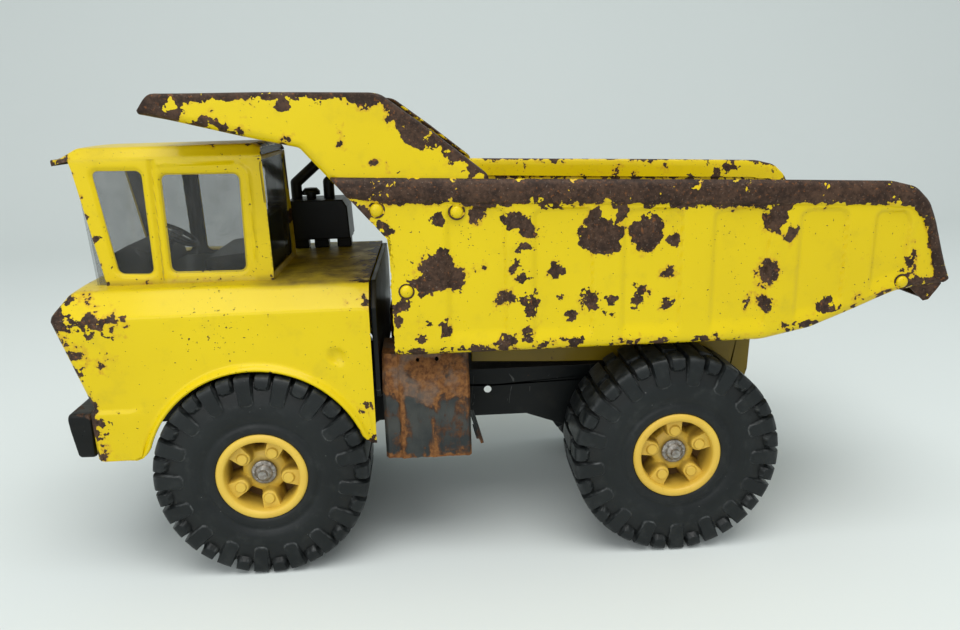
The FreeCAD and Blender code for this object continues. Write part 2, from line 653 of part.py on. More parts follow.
def make_stack(name, x, reach):
    """An exhaust stack whose end is turned back under the canopy."""
    upright = rod(name + "_upright", S.pipe_radius, S.engine_high, S.pipe_top)
    elbow = DOC.addObject("Part::Sphere", name + "_elbow")
    bind(elbow, "Radius", S.pipe_radius)
    bind(elbow, "Placement.Base.z", S.pipe_top)
    nozzle = rod(name + "_nozzle", S.pipe_radius, 0, reach)
    nozzle.Placement.Rotation = FreeCAD.Rotation(FreeCAD.Vector(0, 1, 0), -50)
    bind(nozzle, "Placement.Base.z", S.pipe_top)
    stack = fuse(name + "_fused", [upright, elbow, nozzle])
    node(name, placed_copy(stack, name + "_placed", (x, S.engine_y, 0)))


def make_engine():
    """The dummy engine beside and behind the cab: block, two stacks and an air cleaner."""
    body = new_body("engine_casting")
    half_long, half_wide = S.engine_long / 2, S.engine_wide / 2
    rear, front = S.engine_x - half_long, S.engine_x + half_long
    near, far = S.engine_y + half_wide, S.engine_y - half_wide
    pad(body, "XZ_Plane", "engine_pad", far, near, [[
        (rear, S.engine_low), (front, S.engine_low), (front, S.engine_high),
        (rear + 4, S.engine_high), (rear + 1, S.engine_high - 5)]])
    feet = [rectangle(x - 5, x + 5, S.engine_y - 7, S.engine_y + 3)
            for x in (rear + 6, S.engine_x + 1, front - 6)]
    pad(body, "XY_Plane", "engine_feet", S.deck_top, S.engine_low + 0.5, feet)
    node("engine_block", body)

    make_stack("front_stack", S.pipe_front_x, S.pipe_front_reach)
    make_stack("rear_stack", S.pipe_rear_x, S.pipe_rear_reach)

    cleaner = new_body("air_cleaner_turning")
    sketch = new_sketch(cleaner, "XZ_Plane", "air_cleaner_sketch")
    draw_outline(sketch, [
        (0, S.engine_high), (3.4, S.engine_high), (3.4, S.engine_high + 2.6),
        (6.2, S.engine_high + 2.6), (6.2, S.engine_high + 5), (4.2, S.engine_high + 7.2),
        (0, S.engine_high + 7.6)])
    turned = cleaner.newObject("PartDesign::Revolution", "air_cleaner_turned")
    turned.Profile = sketch
    turned.ReferenceAxis = (sketch, ["V_Axis"])
    turned.Angle = 360
    cleaner.Tip = turned
    node("air_cleaner", placed_copy(cleaner, "air_cleaner_placed", (S.cap_x, S.engine_y, 0)))


# ---------------------------------------------------------------- behind the fenders

def make_bulkhead():
    body = new_body("bulkhead_plate")
    half = S.bulkhead_half
    pad(body, "YZ_Plane", "bulkhead_pad", S.bulkhead_x, S.body_rear_x - S.sheet * 9 + 9, [[
        (-half, S.bulkhead_low), (half, S.bulkhead_low), (half, S.shoulder_z - 1),
        (S.deck_half - 6, S.bulkhead_high), (6 - S.deck_half, S.bulkhead_high),
        (-half, S.shoulder_z - 1)]])
    pocket(body, "YZ_Plane", "bulkhead_dish", S.bulkhead_x + S.sheet, S.body_rear_x + 1, [[
        (-half + 1, S.bulkhead_low + 1), (half - 1, S.bulkhead_low + 1),
        (half - 1, S.shoulder_z - 2), (S.deck_half - 7, S.bulkhead_high - 1),
        (7 - S.deck_half, S.bulkhead_high - 1), (-half + 1, S.shoulder_z - 2)]])
    node("rear_bulkhead", body)


def step_block(name, inset):
    """The solid inside one side step's outer skin."""
    plan = new_body(name + "_plan")
    outer = S.step_outer - inset
    pad(plan, "XY_Plane", name + "_plan_pad", S.step_low - inset * 9, S.step_high + 5, [[
        (S.step_rear_x + inset, S.step_inner - inset * 9), (S.step_rear_x + inset, outer),
        (S.step_nose_x - inset * 0.4, outer), (S.step_front_x - inset, S.step_bevel_y),
        (S.step_front_x - inset, S.step_inner - inset * 9)]])
    section = new_body(name + "_section")
    pad(section, "YZ_Plane", name + "_section_pad", 0, S.step_front_x + 10, [[
        (0, 0), (outer, 0), (outer, S.step_bevel_z), (S.step_bevel_y - inset * 0.6,
                                                      S.step_high - inset),
        (0, S.step_high - inset)]])
    return combine("Common", name, plan, section)


def make_steps():
    """The pressed tank step on each side: open below and towards the chassis."""
    step = combine("Cut", "step_pressing", step_block("step_outer_block", size(0)),
                   step_block("step_inner_block", S.sheet))
    node("side_step_left", step)
    node("side_step_right", mirrored(step, "step_pressing_right"))


# ---------------------------------------------------------------- dump bed

def rim_z(x):
    """Height of the bed's top edge, which falls towards the tail."""
    fall = (S.rim_tail_z - S.rim_front_z) / (S.rim_tail_x - S.rim_front_x)
    return S.rim_front_z + fall * (size(x) - S.rim_front_x)


def bed_side_outline(inset):
    """The side wall of the bed seen from the side."""
    floor = S.bed_floor - S.bed_sheet
    return [
        (S.bed_front_x, floor), (S.bed_front_x, S.bed_knee_z),
        (S.rim_front_x, S.rim_front_z - inset), (S.rim_tail_x, S.rim_tail_z - inset),
        (S.rim_tail_x - 15, S.rim_tail_z - 4.5 - inset),
        (S.rim_tail_x - 23 + inset * 0.4, S.rim_tail_z - 14 - inset * 0.6),
        (S.rim_tail_x - 27 + inset, S.rim_tail_z - 24), (S.tail_x + inset, S.tail_z),
        (S.tail_low_x, S.tail_z - 4), (S.tail_break_x, floor),
    ]


def make_bed_tub():
    """Floor, two ribbed side walls with rolled rims, and a turned-down tail lip."""
    body = new_body("bed_pressing")
    t = S.bed_sheet
    floor, tail = S.bed_floor - t, S.tail_z - 3
    half = S.bed_half - 0.1
    front = S.bed_front_x - t
    pad(body, "XZ_Plane", "bed_floor_pad", -half, half, [[
        (front, floor), (S.tail_break_x, floor), (S.tail_low_x + 2.6, tail - 1.3),
        (S.tail_low_x + 7.2, S.tail_lip_z + 0.4), (S.tail_low_x + 6, S.tail_lip_z),
        (S.tail_low_x, tail - 1), (S.tail_low_x + 1.6, tail + 0.6),
        (S.tail_break_x, S.bed_floor), (front, S.bed_floor)]])
    pocket(body, "XY_Plane", "wing_notches", floor - 1, S.bed_floor + 1, [
        rectangle(S.bed_front_x - 22, S.bed_front_x, inner, outer) for inner, outer in
        ((S.wing_half - t, S.bed_half), (-S.bed_half, t - S.wing_half))])
    wall = bed_side_outline(size(0))
    ribs = [(S.rib_first_x + S.rib_pitch * i) for i in range(SIZES["rib_count"])]
    for side, sign in (("left", 1), ("right", -1)):
        stations = sorted((S.bed_half * sign, (S.bed_half - t) * sign), key=lambda s: s.value)
        pad(body, "XZ_Plane", side + "_wall", stations[0], stations[1], [wall])
        stations = sorted(((S.bed_half - t) * sign, S.rim_half * sign), key=lambda s: s.value)
        pad(body, "XZ_Plane", side + "_rim", stations[0], stations[1], [[
            (S.rim_front_x - 11, S.rim_front_z - S.rim_tall), (S.rim_front_x, S.rim_front_z),
            (S.rim_tail_x, S.rim_tail_z), (S.rim_tail_x - 15, S.rim_tail_z - 4.5),
            (S.rim_tail_x - 23, S.rim_tail_z - 14), (S.rim_tail_x - 27, S.rim_tail_z - 24),
            (S.tail_x, S.tail_z), (S.tail_x + 9, S.tail_z),
            (S.rim_tail_x - 18, S.rim_tail_z - 26), (S.rim_tail_x - 12, S.rim_tail_z - 16),
            (S.rim_tail_x - 4, S.rim_tail_z - S.rim_tall)]])
        stations = sorted(((S.bed_half - t / 2) * sign, (S.bed_half + S.rib_rise) * sign),
                          key=lambda s: s.value)
        pad(body, "XZ_Plane", side + "_ribs", stations[0], stations[1], [
            rectangle(x - S.rib_wide / 2, x + S.rib_wide / 2, floor + 8 + 2.2 * max(0, i - 3)
                      * (i - 2), rim_z(x) - S.rim_tall + 1) for i, x in enumerate(ribs)])
    node("bed_tub", body)


def canopy_line():
    """The sheet's path from the underside of the bed floor up and out over the cab."""
    return [
        (S.bed_front_x, S.bed_floor - S.bed_sheet), (S.bed_front_x, S.bed_knee_z),
        (S.rim_front_x + 1, S.rim_front_z), (S.rim_front_x + 16, S.rim_front_z + 16),
        (S.rim_front_x + 34, S.rim_front_z + 20.5), (S.canopy_tip_x, S.canopy_tip_z),
    ]


def make_bed_canopy():
    """Front wall, canopy floor and two upstanding wings, riveted inside the bed's sides."""
    body = new_body("canopy_pressing")
    path = canopy_line()
    t = S.bed_sheet
    shift = [(-t, 0), (-t, 0.5), (-t, 0.8), (-0.7 * t, t), (-0.3 * t, t), (0, t)]
    back = [(x + dx, z + dz) for (x, z), (dx, dz) in zip(path, shift)]
    pad(body, "XZ_Plane", "canopy_sheet", -S.wing_half, S.wing_half, [path + back[::-1]])
    wing = path + [
        (S.canopy_tip_x - 7, S.canopy_top_z), (S.canopy_rear_x, S.canopy_rear_z),
        (S.wing_foot_x, S.wing_foot_z - 3), (S.wing_foot_x, S.wing_foot_z - 26),
        (S.bed_front_x - 22, S.bed_knee_z - 16), (S.bed_front_x - 22, S.bed_floor - t)]
    for side, sign in (("left", 1), ("right", -1)):
        stations = sorted((S.wing_half * sign, (S.wing_half - t) * sign), key=lambda s: s.value)
        pad(body, "XZ_Plane", side + "_wing", stations[0], stations[1], [wing])
    node("bed_canopy", body)


def make_rivets():
    """Domed rivets that hold the canopy pressing and the tail to the bed's sides."""
    places = [(S.bed_front_x + 5.5, rim_z(67) - S.rim_tall - 3.7),
              (S.bed_front_x - 37, rim_z(25) - S.rim_tall - 3.7),
              (S.bed_front_x - 8, S.bed_floor + 36), (S.tail_x + 28, S.tail_z)]
    heads = []
    for number, (x, z) in enumerate(places):
        for side, sign in (("left", 1), ("right", -1)):
            head = DOC.addObject("Part::Sphere", "rivet_%s_%d" % (side, number))
            bind(head, "Radius", S.rivet_radius)
            bind(head, "Placement.Base.x", x)
            bind(head, "Placement.Base.y", (S.bed_half - S.rivet_radius + S.rivet_dome) * sign)
            bind(head, "Placement.Base.z", z)
            heads.append(head)
    outside = DOC.addObject("Part::Compound", "rivet_spheres")
    outside.Links = heads
    slab = block("rivet_core", (-300, -S.bed_half, 0), (300, S.bed_half, 400))
    node("bed_rivets", combine("Cut", "rivet_domes", outside, slab))


def make_subframe():
    """The channel under the bed floor whose two ears hang over the hinge pin."""
    body = new_body("subframe_channel")
    floor = S.bed_floor - S.bed_sheet
    outline = [
        (S.bed_front_x - 45, floor), (S.bed_front_x - 45, S.frame_top + 6.5),
        (S.bed_front_x - 100, S.frame_top + 4), (S.hinge_x + 24, S.frame_top + 2),
        (S.hinge_x + 10, S.ear_low), (S.hinge_x - 8, S.ear_low),
        (S.hinge_x - 11.5, S.hinge_z + 3), (S.hinge_x - 13, floor + 2.4)]
    pad(body, "XZ_Plane", "subframe_pad", -S.ear_outer, S.ear_outer, [outline])
    pocket(body, "XZ_Plane", "subframe_hollow", -S.ear_inner, S.ear_inner,
           [rectangle(S.hinge_x - 30, S.bed_front_x, 0, floor - 1.5)])
    pocket(body, "XZ_Plane", "hinge_holes", -S.ear_outer - 1, S.ear_outer + 1,
           circles=[((S.hinge_x, S.hinge_z), S.hinge_radius + S.running_gap)])
    trimmed = combine("Cut", "subframe_trimmed", body, tail_underside())
    node("bed_subframe", trimmed)


def tail_underside():
    """Everything above the underside of the bed floor, used to trim what sits below it."""
    body = new_body("above_bed_floor")
    floor = S.bed_floor - S.bed_sheet
    pad(body, "XZ_Plane", "above_bed_floor_pad", -60, 60, [[
        (S.bed_front_x + 5, floor), (S.tail_break_x, floor), (S.tail_low_x, S.tail_z - 4),
        (S.tail_low_x, S.rim_front_z), (S.bed_front_x + 5, S.rim_front_z)]])
    return body


def make_hinge():
    """The hinge pin through the chassis and the bed's ears, with a push nut on each end."""
    pin = rod("hinge_rod", S.hinge_radius, -S.hinge_pin_half, S.hinge_pin_half, "Y",
              (S.hinge_x, S.hinge_z))
    node("hinge_pin", pin)
    body = new_body("hinge_nut_ring")
    revolve_about_y(body, "hinge_nut_turning", rectangle(
        S.hinge_radius, S.hinge_radius * 2, S.ear_outer + 0.3, S.ear_outer + 1.8))
    nuts = [placed_copy(body, "hinge_nut_" + side, (S.hinge_x, 0, S.hinge_z), turned)
            for side, turned in (("left", False), ("right", True))]
    group = DOC.addObject("Part::Compound", "hinge_nut_group")
    group.Links = nuts
    node("hinge_nuts", group)


# ---------------------------------------------------------------- build, check and write

def check_and_write():
    """Stops on any failed object or bad shape, then writes one file per sub-part."""
    DOC.recompute()
    for obj in DOC.Objects:
        if "Invalid" in obj.State or "Error" in obj.State:
            raise RuntimeError("%s did not recompute: %s" % (obj.Label, obj.State))
    for name, obj in NODES.items():
        if obj.Shape.isNull() or not obj.Shape.isValid():
            raise RuntimeError("bad shape in " + name)
    os.makedirs("parts", exist_ok=True)
    for name, obj in NODES.items():
        obj.Shape.exportStep("parts/%s.step" % name)
        box = obj.Shape.BoundBox
        print("%-24s solids %2d  volume %9.1f  x %7.1f %7.1f  y %6.1f %6.1f  z %6.1f %6.1f" % (
            name, len(obj.Shape.Solids), obj.Shape.Volume, box.XMin, box.XMax,
            box.YMin, box.YMax, box.ZMin, box.ZMax))


make_wheels()
make_axle_spacers()
make_chassis_frame()
make_body_shell()
make_bumper()
make_grille_and_lamps()
make_cab_shell()
make_cab_glazing()
make_cab_interior()
make_steering()
make_engine()
make_bulkhead()
make_steps()
make_bed_tub()
make_bed_canopy()
make_rivets()
make_subframe()
make_hinge()
check_and_write()
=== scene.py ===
import json
import math

import bmesh
import bpy
import numpy as np
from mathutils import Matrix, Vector, noise


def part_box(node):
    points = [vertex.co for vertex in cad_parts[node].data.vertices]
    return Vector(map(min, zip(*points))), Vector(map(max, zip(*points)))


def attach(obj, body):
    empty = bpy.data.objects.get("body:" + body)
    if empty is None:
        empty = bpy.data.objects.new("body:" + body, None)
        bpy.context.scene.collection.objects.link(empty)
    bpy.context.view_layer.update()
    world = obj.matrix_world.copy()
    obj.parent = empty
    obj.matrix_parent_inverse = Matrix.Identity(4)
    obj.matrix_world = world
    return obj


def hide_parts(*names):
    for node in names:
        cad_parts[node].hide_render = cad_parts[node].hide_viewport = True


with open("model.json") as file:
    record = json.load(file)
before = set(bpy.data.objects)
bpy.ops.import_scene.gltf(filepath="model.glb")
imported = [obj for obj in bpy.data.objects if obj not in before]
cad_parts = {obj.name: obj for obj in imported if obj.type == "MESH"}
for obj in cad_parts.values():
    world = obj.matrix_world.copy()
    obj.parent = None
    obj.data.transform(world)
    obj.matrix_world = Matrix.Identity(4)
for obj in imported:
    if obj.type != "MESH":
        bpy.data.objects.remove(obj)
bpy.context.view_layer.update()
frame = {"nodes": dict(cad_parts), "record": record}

MM = 0.001
WHEELS = ("front_left", "front_right", "rear_left", "rear_right")
FAR_FROM_BARE = 20.0        # the "bare" attribute is this many millimetres at a patch's edge


def low(node):
    """A node's lowest corner in millimetres."""
    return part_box(node)[0] / MM


def high(node):
    """A node's highest corner in millimetres."""
    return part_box(node)[1] / MM


# ------------------------------------------------------------------ lines and sections

def ease(value, start, end):
    """0 before start, 1 after end, and smooth between them."""
    t = np.clip((np.asarray(value, float) - start) / (end - start), 0, 1)
    return t * t * (3 - 2 * t)


def rounded(line, reach):
    """Rounds the corners of a finely sampled line by averaging over its neighbours."""
    out = line.copy()
    last = len(line) - 1
    for i in range(1, last):
        near = min(reach, i, last - i)
        out[i] = line[i - near:i + near + 1].mean(axis=0)
    return out


def sampled(keys, step, reach=0):
    """Points no further than step apart along the line through the keys."""
    keys = np.array(keys, float)
    line = []
    for a, b in zip(keys, keys[1:]):
        count = max(1, int(math.ceil(np.linalg.norm(b - a) / step)))
        line += [a + (b - a) * i / count for i in range(count)]
    line.append(keys[-1])
    return rounded(np.array(line), reach)


def spread(start, end, count):
    """So many numbers evenly from start to end."""
    return np.linspace(start, end, count)


def box_distance(x, z, low_x, high_x, low_z, high_z, radius):
    """Signed distance to a rectangle with round corners, negative inside."""
    dx = np.abs(x - (low_x + high_x) / 2) - (high_x - low_x) / 2 + radius
    dz = np.abs(z - (low_z + high_z) / 2) - (high_z - low_z) / 2 + radius
    outside = np.hypot(np.maximum(dx, 0), np.maximum(dz, 0))
    return outside + np.minimum(np.maximum(dx, dz), 0) - radius


def polygon_distance(x, z, corners, radius):
    """Signed distance to a convex polygon, given clockwise or not, its corners rounded."""
    x, z = np.asarray(x, float), np.asarray(z, float)
    corners = np.array(corners, float)
    centre = corners.mean(axis=0)
    worst, gap = np.full(x.shape, -1e9), np.zeros(x.shape)
    for a, b in zip(corners, np.roll(corners, -1, axis=0)):
        side = np.array([b[1] - a[1], a[0] - b[0]])
        side /= np.linalg.norm(side)
        if np.dot(centre - a, side) > 0:
            side = -side
        away = (x - a[0]) * side[0] + (z - a[1]) * side[1] + radius
        worst = np.maximum(worst, away)
        gap += np.maximum(away, 0) ** 2
    return np.where(worst > 0, np.sqrt(gap), worst) - radius


def patches(points, spots):
    """How far inside a bare patch each point is, in millimetres. A spot is x, z, half sizes."""
    inside = np.full(len(points), -FAR_FROM_BARE)
    for x, z, wide, tall in spots:
        reach = np.hypot((points[:, 0] - x) / wide, (points[:, 2] - z) / tall)
        inside = np.maximum(inside, (1 - reach) * min(wide, tall) - 0.7)
    return inside


def blots(points, spots):
    """The same about points in space. A spot is x, y, z, its radius and, for a halo of small
    chips, how slowly the wear falls off."""
    inside = np.full(len(points), -FAR_FROM_BARE)
    for x, y, z, radius, *fall in spots:
        away = np.linalg.norm(points - np.array((x, y, z)), axis=1)
        inside = np.maximum(inside, radius - away * (fall[0] if fall else 1))
    return inside


def undulation(points, size):
    """Slow noise at each point, as pressed sheet is never quite flat."""
    return np.array([noise.noise(Vector(p) / size) for p in points])


def about_y(centre, r, y, angle):
    """Points at radius r about an axle through centre, y out from it. Angle 0 is the top."""
    return np.stack(np.broadcast_arrays(centre[0] + r * np.sin(angle), centre[1] + y,
                                        centre[2] + r * np.cos(angle)), axis=-1)


# ------------------------------------------------------------------ mesh building

class Sheet:
    """Points in millimetres, faces, how bare (in millimetres) each point is, and how much grime and
    painted shade it carries.
    """

    def __init__(self):
        self.points = np.zeros((0, 3))
        self.bare = np.zeros(0)
        self.grime_and_shade = np.zeros(0)
        self.faces = []

    def add(self, points, faces, bare=None, grime_and_shade=None):
        """Adds points and the faces between them."""
        points = np.asarray(points, float).reshape(-1, 3)
        start = len(self.points)
        count = len(points)
        bare = np.full(count, -FAR_FROM_BARE) if bare is None else np.asarray(bare).reshape(-1)
        grime_and_shade = 0.0 if grime_and_shade is None else np.asarray(grime_and_shade, float).reshape(-1)
        grime_and_shade = np.broadcast_to(grime_and_shade, count)
        self.points = np.vstack([self.points, points])
        self.bare = np.concatenate([self.bare, bare])
        self.grime_and_shade = np.concatenate([self.grime_and_shade, grime_and_shade])
        self.faces += [tuple(start + i for i in face) for face in faces]

    def grid(self, block, bare=None, grime_and_shade=None, ring=False):
        """Quads over a block of points [row][column][xyz]; ring joins the last column to the
        first."""
        rows, columns = block.shape[:2]
        faces = []
        for i in range(rows - 1):
            for j in range(columns if ring else columns - 1):
                k = (j + 1) % columns
                faces.append((i * columns + j, i * columns + k,
                              (i + 1) * columns + k, (i + 1) * columns + j))
        self.add(block, faces, bare, grime_and_shade)

    def cut_grid(self, block, keep, bare=None, grime_and_shade=None, ring=False):
        """A grid with openings: keep is the distance to the nearest one, negative in the
        metal."""
        rows, columns = block.shape[:2]
        flat, away = block.reshape(-1, 3), keep.reshape(-1)
        values = [np.full(len(flat), -FAR_FROM_BARE) if bare is None else bare.reshape(-1),
                  np.zeros(len(flat)) if grime_and_shade is None
                  else np.broadcast_to(grime_and_shade, len(flat)).reshape(-1)]
        points = [p for p in flat]
        extra = [list(v) for v in values]
        crossings, faces = {}, []
        for i in range(rows - 1):
            for j in range(columns if ring else columns - 1):
                k = (j + 1) % columns
                quad = (i * columns + j, i * columns + k,
                        (i + 1) * columns + k, (i + 1) * columns + j)
                if all(away[q] <= 0 for q in quad):
                    faces.append(quad)
                    continue
                if all(away[q] > 0 for q in quad):
                    continue
                corner = []
                for a, b in zip(quad, quad[1:] + quad[:1]):
                    if away[a] <= 0:
                        corner.append(a)
                    if (away[a] <= 0) != (away[b] <= 0):
                        edge = (min(a, b), max(a, b))
                        if edge not in crossings:
                            first, second = edge
                            t = away[first] / (away[first] - away[second])
                            t = min(max(t, 0.04), 0.96)
                            crossings[edge] = len(points)
                            points.append(flat[first] + (flat[second] - flat[first]) * t)
                            for kept, value in zip(extra, values):
                                kept.append(value[first] + (value[second] - value[first]) * t)
                        corner.append(crossings[edge])
                faces.append(tuple(corner))
        used = sorted({v for face in faces for v in face})
        place = {v: n for n, v in enumerate(used)}
        self.add(np.array([points[v] for v in used]),
                 [tuple(place[v] for v in face) for face in faces],
                 np.array([extra[0][v] for v in used]), np.array([extra[1][v] for v in used]))


def closed_mesh(name, sheet, thickness, offset, weld, two_sided=False):
    """A mesh of the sheet, given a thickness and, if asked, a second material inside."""
    mesh = bpy.data.meshes.new(name)
    mesh.from_pydata((sheet.points * MM).tolist(), [], sheet.faces)
    for title, values in (("bare", sheet.bare + FAR_FROM_BARE), ("grime_and_shade", sheet.grime_and_shade)):
        layer = mesh.attributes.new(title, "FLOAT", "POINT")
        layer.data.foreach_set("value", np.maximum(values, 0).astype(np.float32))
    work = bmesh.new()
    work.from_mesh(mesh)
    bmesh.ops.remove_doubles(work, verts=work.verts, dist=weld * MM)
    bmesh.ops.dissolve_degenerate(work, edges=work.edges, dist=0.01 * MM)
    bmesh.ops.recalc_face_normals(work, faces=work.faces)
    work.to_mesh(mesh)
    work.free()
    if thickness:
        holder = bpy.data.objects.new(name + "_holder", mesh)
        bpy.context.scene.collection.objects.link(holder)
        solid = holder.modifiers.new("thickness", "SOLIDIFY")
        solid.thickness = thickness * MM
        solid.offset = offset
        if two_sided:
            mesh.materials.append(None)
            mesh.materials.append(None)
            solid.material_offset = 1
        bpy.context.view_layer.update()
        ready = holder.evaluated_get(bpy.context.evaluated_depsgraph_get())
        mesh = bpy.data.meshes.new_from_object(ready)
        mesh.name = name
        bpy.data.objects.remove(holder)
    return mesh


def smooth(mesh, sharp):
    """Smooth shading, with edges sharper than so many degrees kept crisp."""
    work = bmesh.new()
    work.from_mesh(mesh)
    limit = math.radians(sharp)
    for face in work.faces:
        face.smooth = True
    for edge in work.edges:
        edge.smooth = len(edge.link_faces) == 2 and edge.calc_face_angle(0) < limit
    work.to_mesh(mesh)
    work.free()


def piece(name, sheet, body, material, replaces=(), thickness=0.0, offset=0.0,
          weld=0.02, sharp=35, inner=None):
    """One shown piece of the truck, riding on a body and standing for some CAD nodes."""
    mesh = closed_mesh(name, sheet, thickness, offset, weld, inner is not None)
    smooth(mesh, sharp)
    sides = [0] * len(mesh.polygons)
    mesh.polygons.foreach_get("material_index", sides)
    mesh.materials.clear()
    mesh.materials.append(material)
    if inner is not None:
        mesh.materials.append(inner)
        mesh.polygons.foreach_set("material_index", sides)
    shown = bpy.data.objects.new(name, mesh)
    bpy.context.scene.collection.objects.link(shown)
    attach(shown, body)
    if replaces:
        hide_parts(*replaces)
    return shown


# ------------------------------------------------------------------ materials

class Shader:
    """A material whose textures follow the piece, with short ways to add nodes."""

    def __init__(self, name):
        self.material = bpy.data.materials.new(name)
        self.material.use_nodes = True
        self.nodes = self.material.node_tree.nodes
        self.links = self.material.node_tree.links
        self.nodes.clear()
        self.surface = self.nodes.new("ShaderNodeBsdfPrincipled")
        output = self.nodes.new("ShaderNodeOutputMaterial")
        self.links.new(self.surface.outputs[0], output.inputs[0])
        coordinates = self.nodes.new("ShaderNodeTexCoord")
        self.place = coordinates.outputs["Object"]
        self.facing = coordinates.outputs["Normal"]

    def feed(self, socket, value):
        """Links a node to a socket, or sets its value."""
        if isinstance(value, bpy.types.NodeSocket):
            self.links.new(value, socket)
        elif isinstance(value, tuple) and len(value) == 3 and len(socket.default_value) == 4:
            socket.default_value = value + (1.0,)
        else:
            socket.default_value = value

    def set(self, **values):
        """Sets the surface's inputs; _ stands for a space in their names."""
        for title, value in values.items():
            self.feed(self.surface.inputs[title.replace("_", " ")], value)

    def attribute(self, title):
        """The value of a point's bare or grime_and_shade attribute."""
        node = self.nodes.new("ShaderNodeAttribute")
        node.attribute_name = title
        return node.outputs["Fac"]

    def math(self, operation, first, second=0.0, clamp=False):
        node = self.nodes.new("ShaderNodeMath")
        node.operation = operation
        node.use_clamp = clamp
        self.feed(node.inputs[0], first)
        self.feed(node.inputs[1], second)
        return node.outputs[0]

    def add(self, *values):
        total = values[0]
        for value in values[1:]:
            total = self.math("ADD", total, value)
        return total

    def times(self, first, second, clamp=False):
        return self.math("MULTIPLY", first, second, clamp)

    def stretch(self, factors, turn=(0.0, 0.0, 0.0)):
        """The object's coordinates, turned and stretched."""
        node = self.nodes.new("ShaderNodeMapping")
        self.feed(node.inputs["Vector"], self.place)
        node.inputs["Rotation"].default_value = [math.radians(a) for a in turn]
        node.inputs["Scale"].default_value = factors
        return node.outputs[0]

    def noise(self, size, detail=3.0, roughness=0.5, distortion=0.0, place=None):
        """Noise whose lumps are about so many millimetres, from 0 to 1."""
        node = self.nodes.new("ShaderNodeTexNoise")
        self.feed(node.inputs["Vector"], place or self.place)
        node.inputs["Scale"].default_value = 1 / (size * MM)
        node.inputs["Detail"].default_value = detail
        node.inputs["Roughness"].default_value = roughness
        node.inputs["Distortion"].default_value = distortion
        return node.outputs["Fac"]

    def wander(self, size, reach, detail=3.0, place=None):
        """Noise centred on 0 that reaches about so many millimetres each way."""
        centred = self.math("SUBTRACT", self.noise(size, detail, place=place), 0.5)
        return self.times(centred, reach * 7)

    def step(self, value, start, end):
        """0 at start and 1 at end, smooth between them."""
        node = self.nodes.new("ShaderNodeMapRange")
        node.interpolation_type = "SMOOTHSTEP"
        self.feed(node.inputs["Value"], value)
        node.inputs["From Min"].default_value = start
        node.inputs["From Max"].default_value = end
        return node.outputs["Result"]

    def scale(self, value, bottom, top):
        """0 to 1 becomes bottom to top."""
        return self.math("ADD", self.times(value, top - bottom), bottom)

    def mix(self, share, first, second, blend="MIX"):
        """Goes from the first colour to the second as share goes from 0 to 1."""
        node = self.nodes.new("ShaderNodeMix")
        node.data_type = "RGBA"
        node.blend_type = blend
        self.feed(node.inputs["Factor"], share)
        self.feed(node.inputs[6], first)
        self.feed(node.inputs[7], second)
        return node.outputs[2]

    def upward(self):
        """1 where the surface faces up and -1 where it faces down."""
        node = self.nodes.new("ShaderNodeSeparateXYZ")
        self.feed(node.inputs[0], self.facing)
        return node.outputs["Z"]

    def height(self):
        """How high a point is in the piece's own coordinates, in millimetres."""
        node = self.nodes.new("ShaderNodeSeparateXYZ")
        self.feed(node.inputs[0], self.place)
        return self.times(node.outputs["Z"], 1 / MM)

    def hairlines(self, size, width, turn, share):
        """Short thin scratches: the contour lines of stretched noise, broken up."""
        bent = self.noise(size, 1.0, place=self.stretch((1.0, 1.0, 0.45), turn))
        off = self.math("ABSOLUTE", self.math("SUBTRACT", bent, 0.5))
        line = self.step(off, width, width * 0.4)
        return self.times(line, self.step(self.noise(size * 0.55, 2.0), 1 - share, 1.03 - share))

    def bump(self, height, distance, strength=1.0, normal=None):
        """A relief so many millimetres deep."""
        node = self.nodes.new("ShaderNodeBump")
        node.inputs["Strength"].default_value = strength
        node.inputs["Distance"].default_value = distance * MM
        self.feed(node.inputs["Height"], height)
        if normal is not None:
            self.feed(node.inputs["Normal"], normal)
        return node.outputs[0]


RUST_DARK = (0.022, 0.011, 0.0065)
RUST_LIGHT = (0.070, 0.037, 0.022)
RUST_ORANGE = (0.42, 0.135, 0.022)
DUST = (0.115, 0.080, 0.036)


def bare_rust(shader):
    """Colour, roughness and height of steel that lost its paint long ago."""
    blend = shader.add(shader.times(shader.noise(13, 5, 0.62), 0.45),
                       shader.times(shader.noise(2.6, 5, 0.7), 0.55))
    colour = shader.mix(shader.step(blend, 0.40, 0.62), RUST_DARK, RUST_LIGHT)
    colour = shader.mix(shader.times(shader.step(shader.noise(2.1, 3), 0.60, 0.74), 0.30),
                        colour, RUST_ORANGE)
    glint = shader.step(shader.noise(1.1, 2), 0.64, 0.72)
    colour = shader.mix(shader.times(glint, 0.40), colour, (0.24, 0.18, 0.14))
    rough = shader.scale(shader.noise(1.8, 4), 0.30, 0.72)
    return colour, rough, shader.noise(1.5, 7, 0.7)


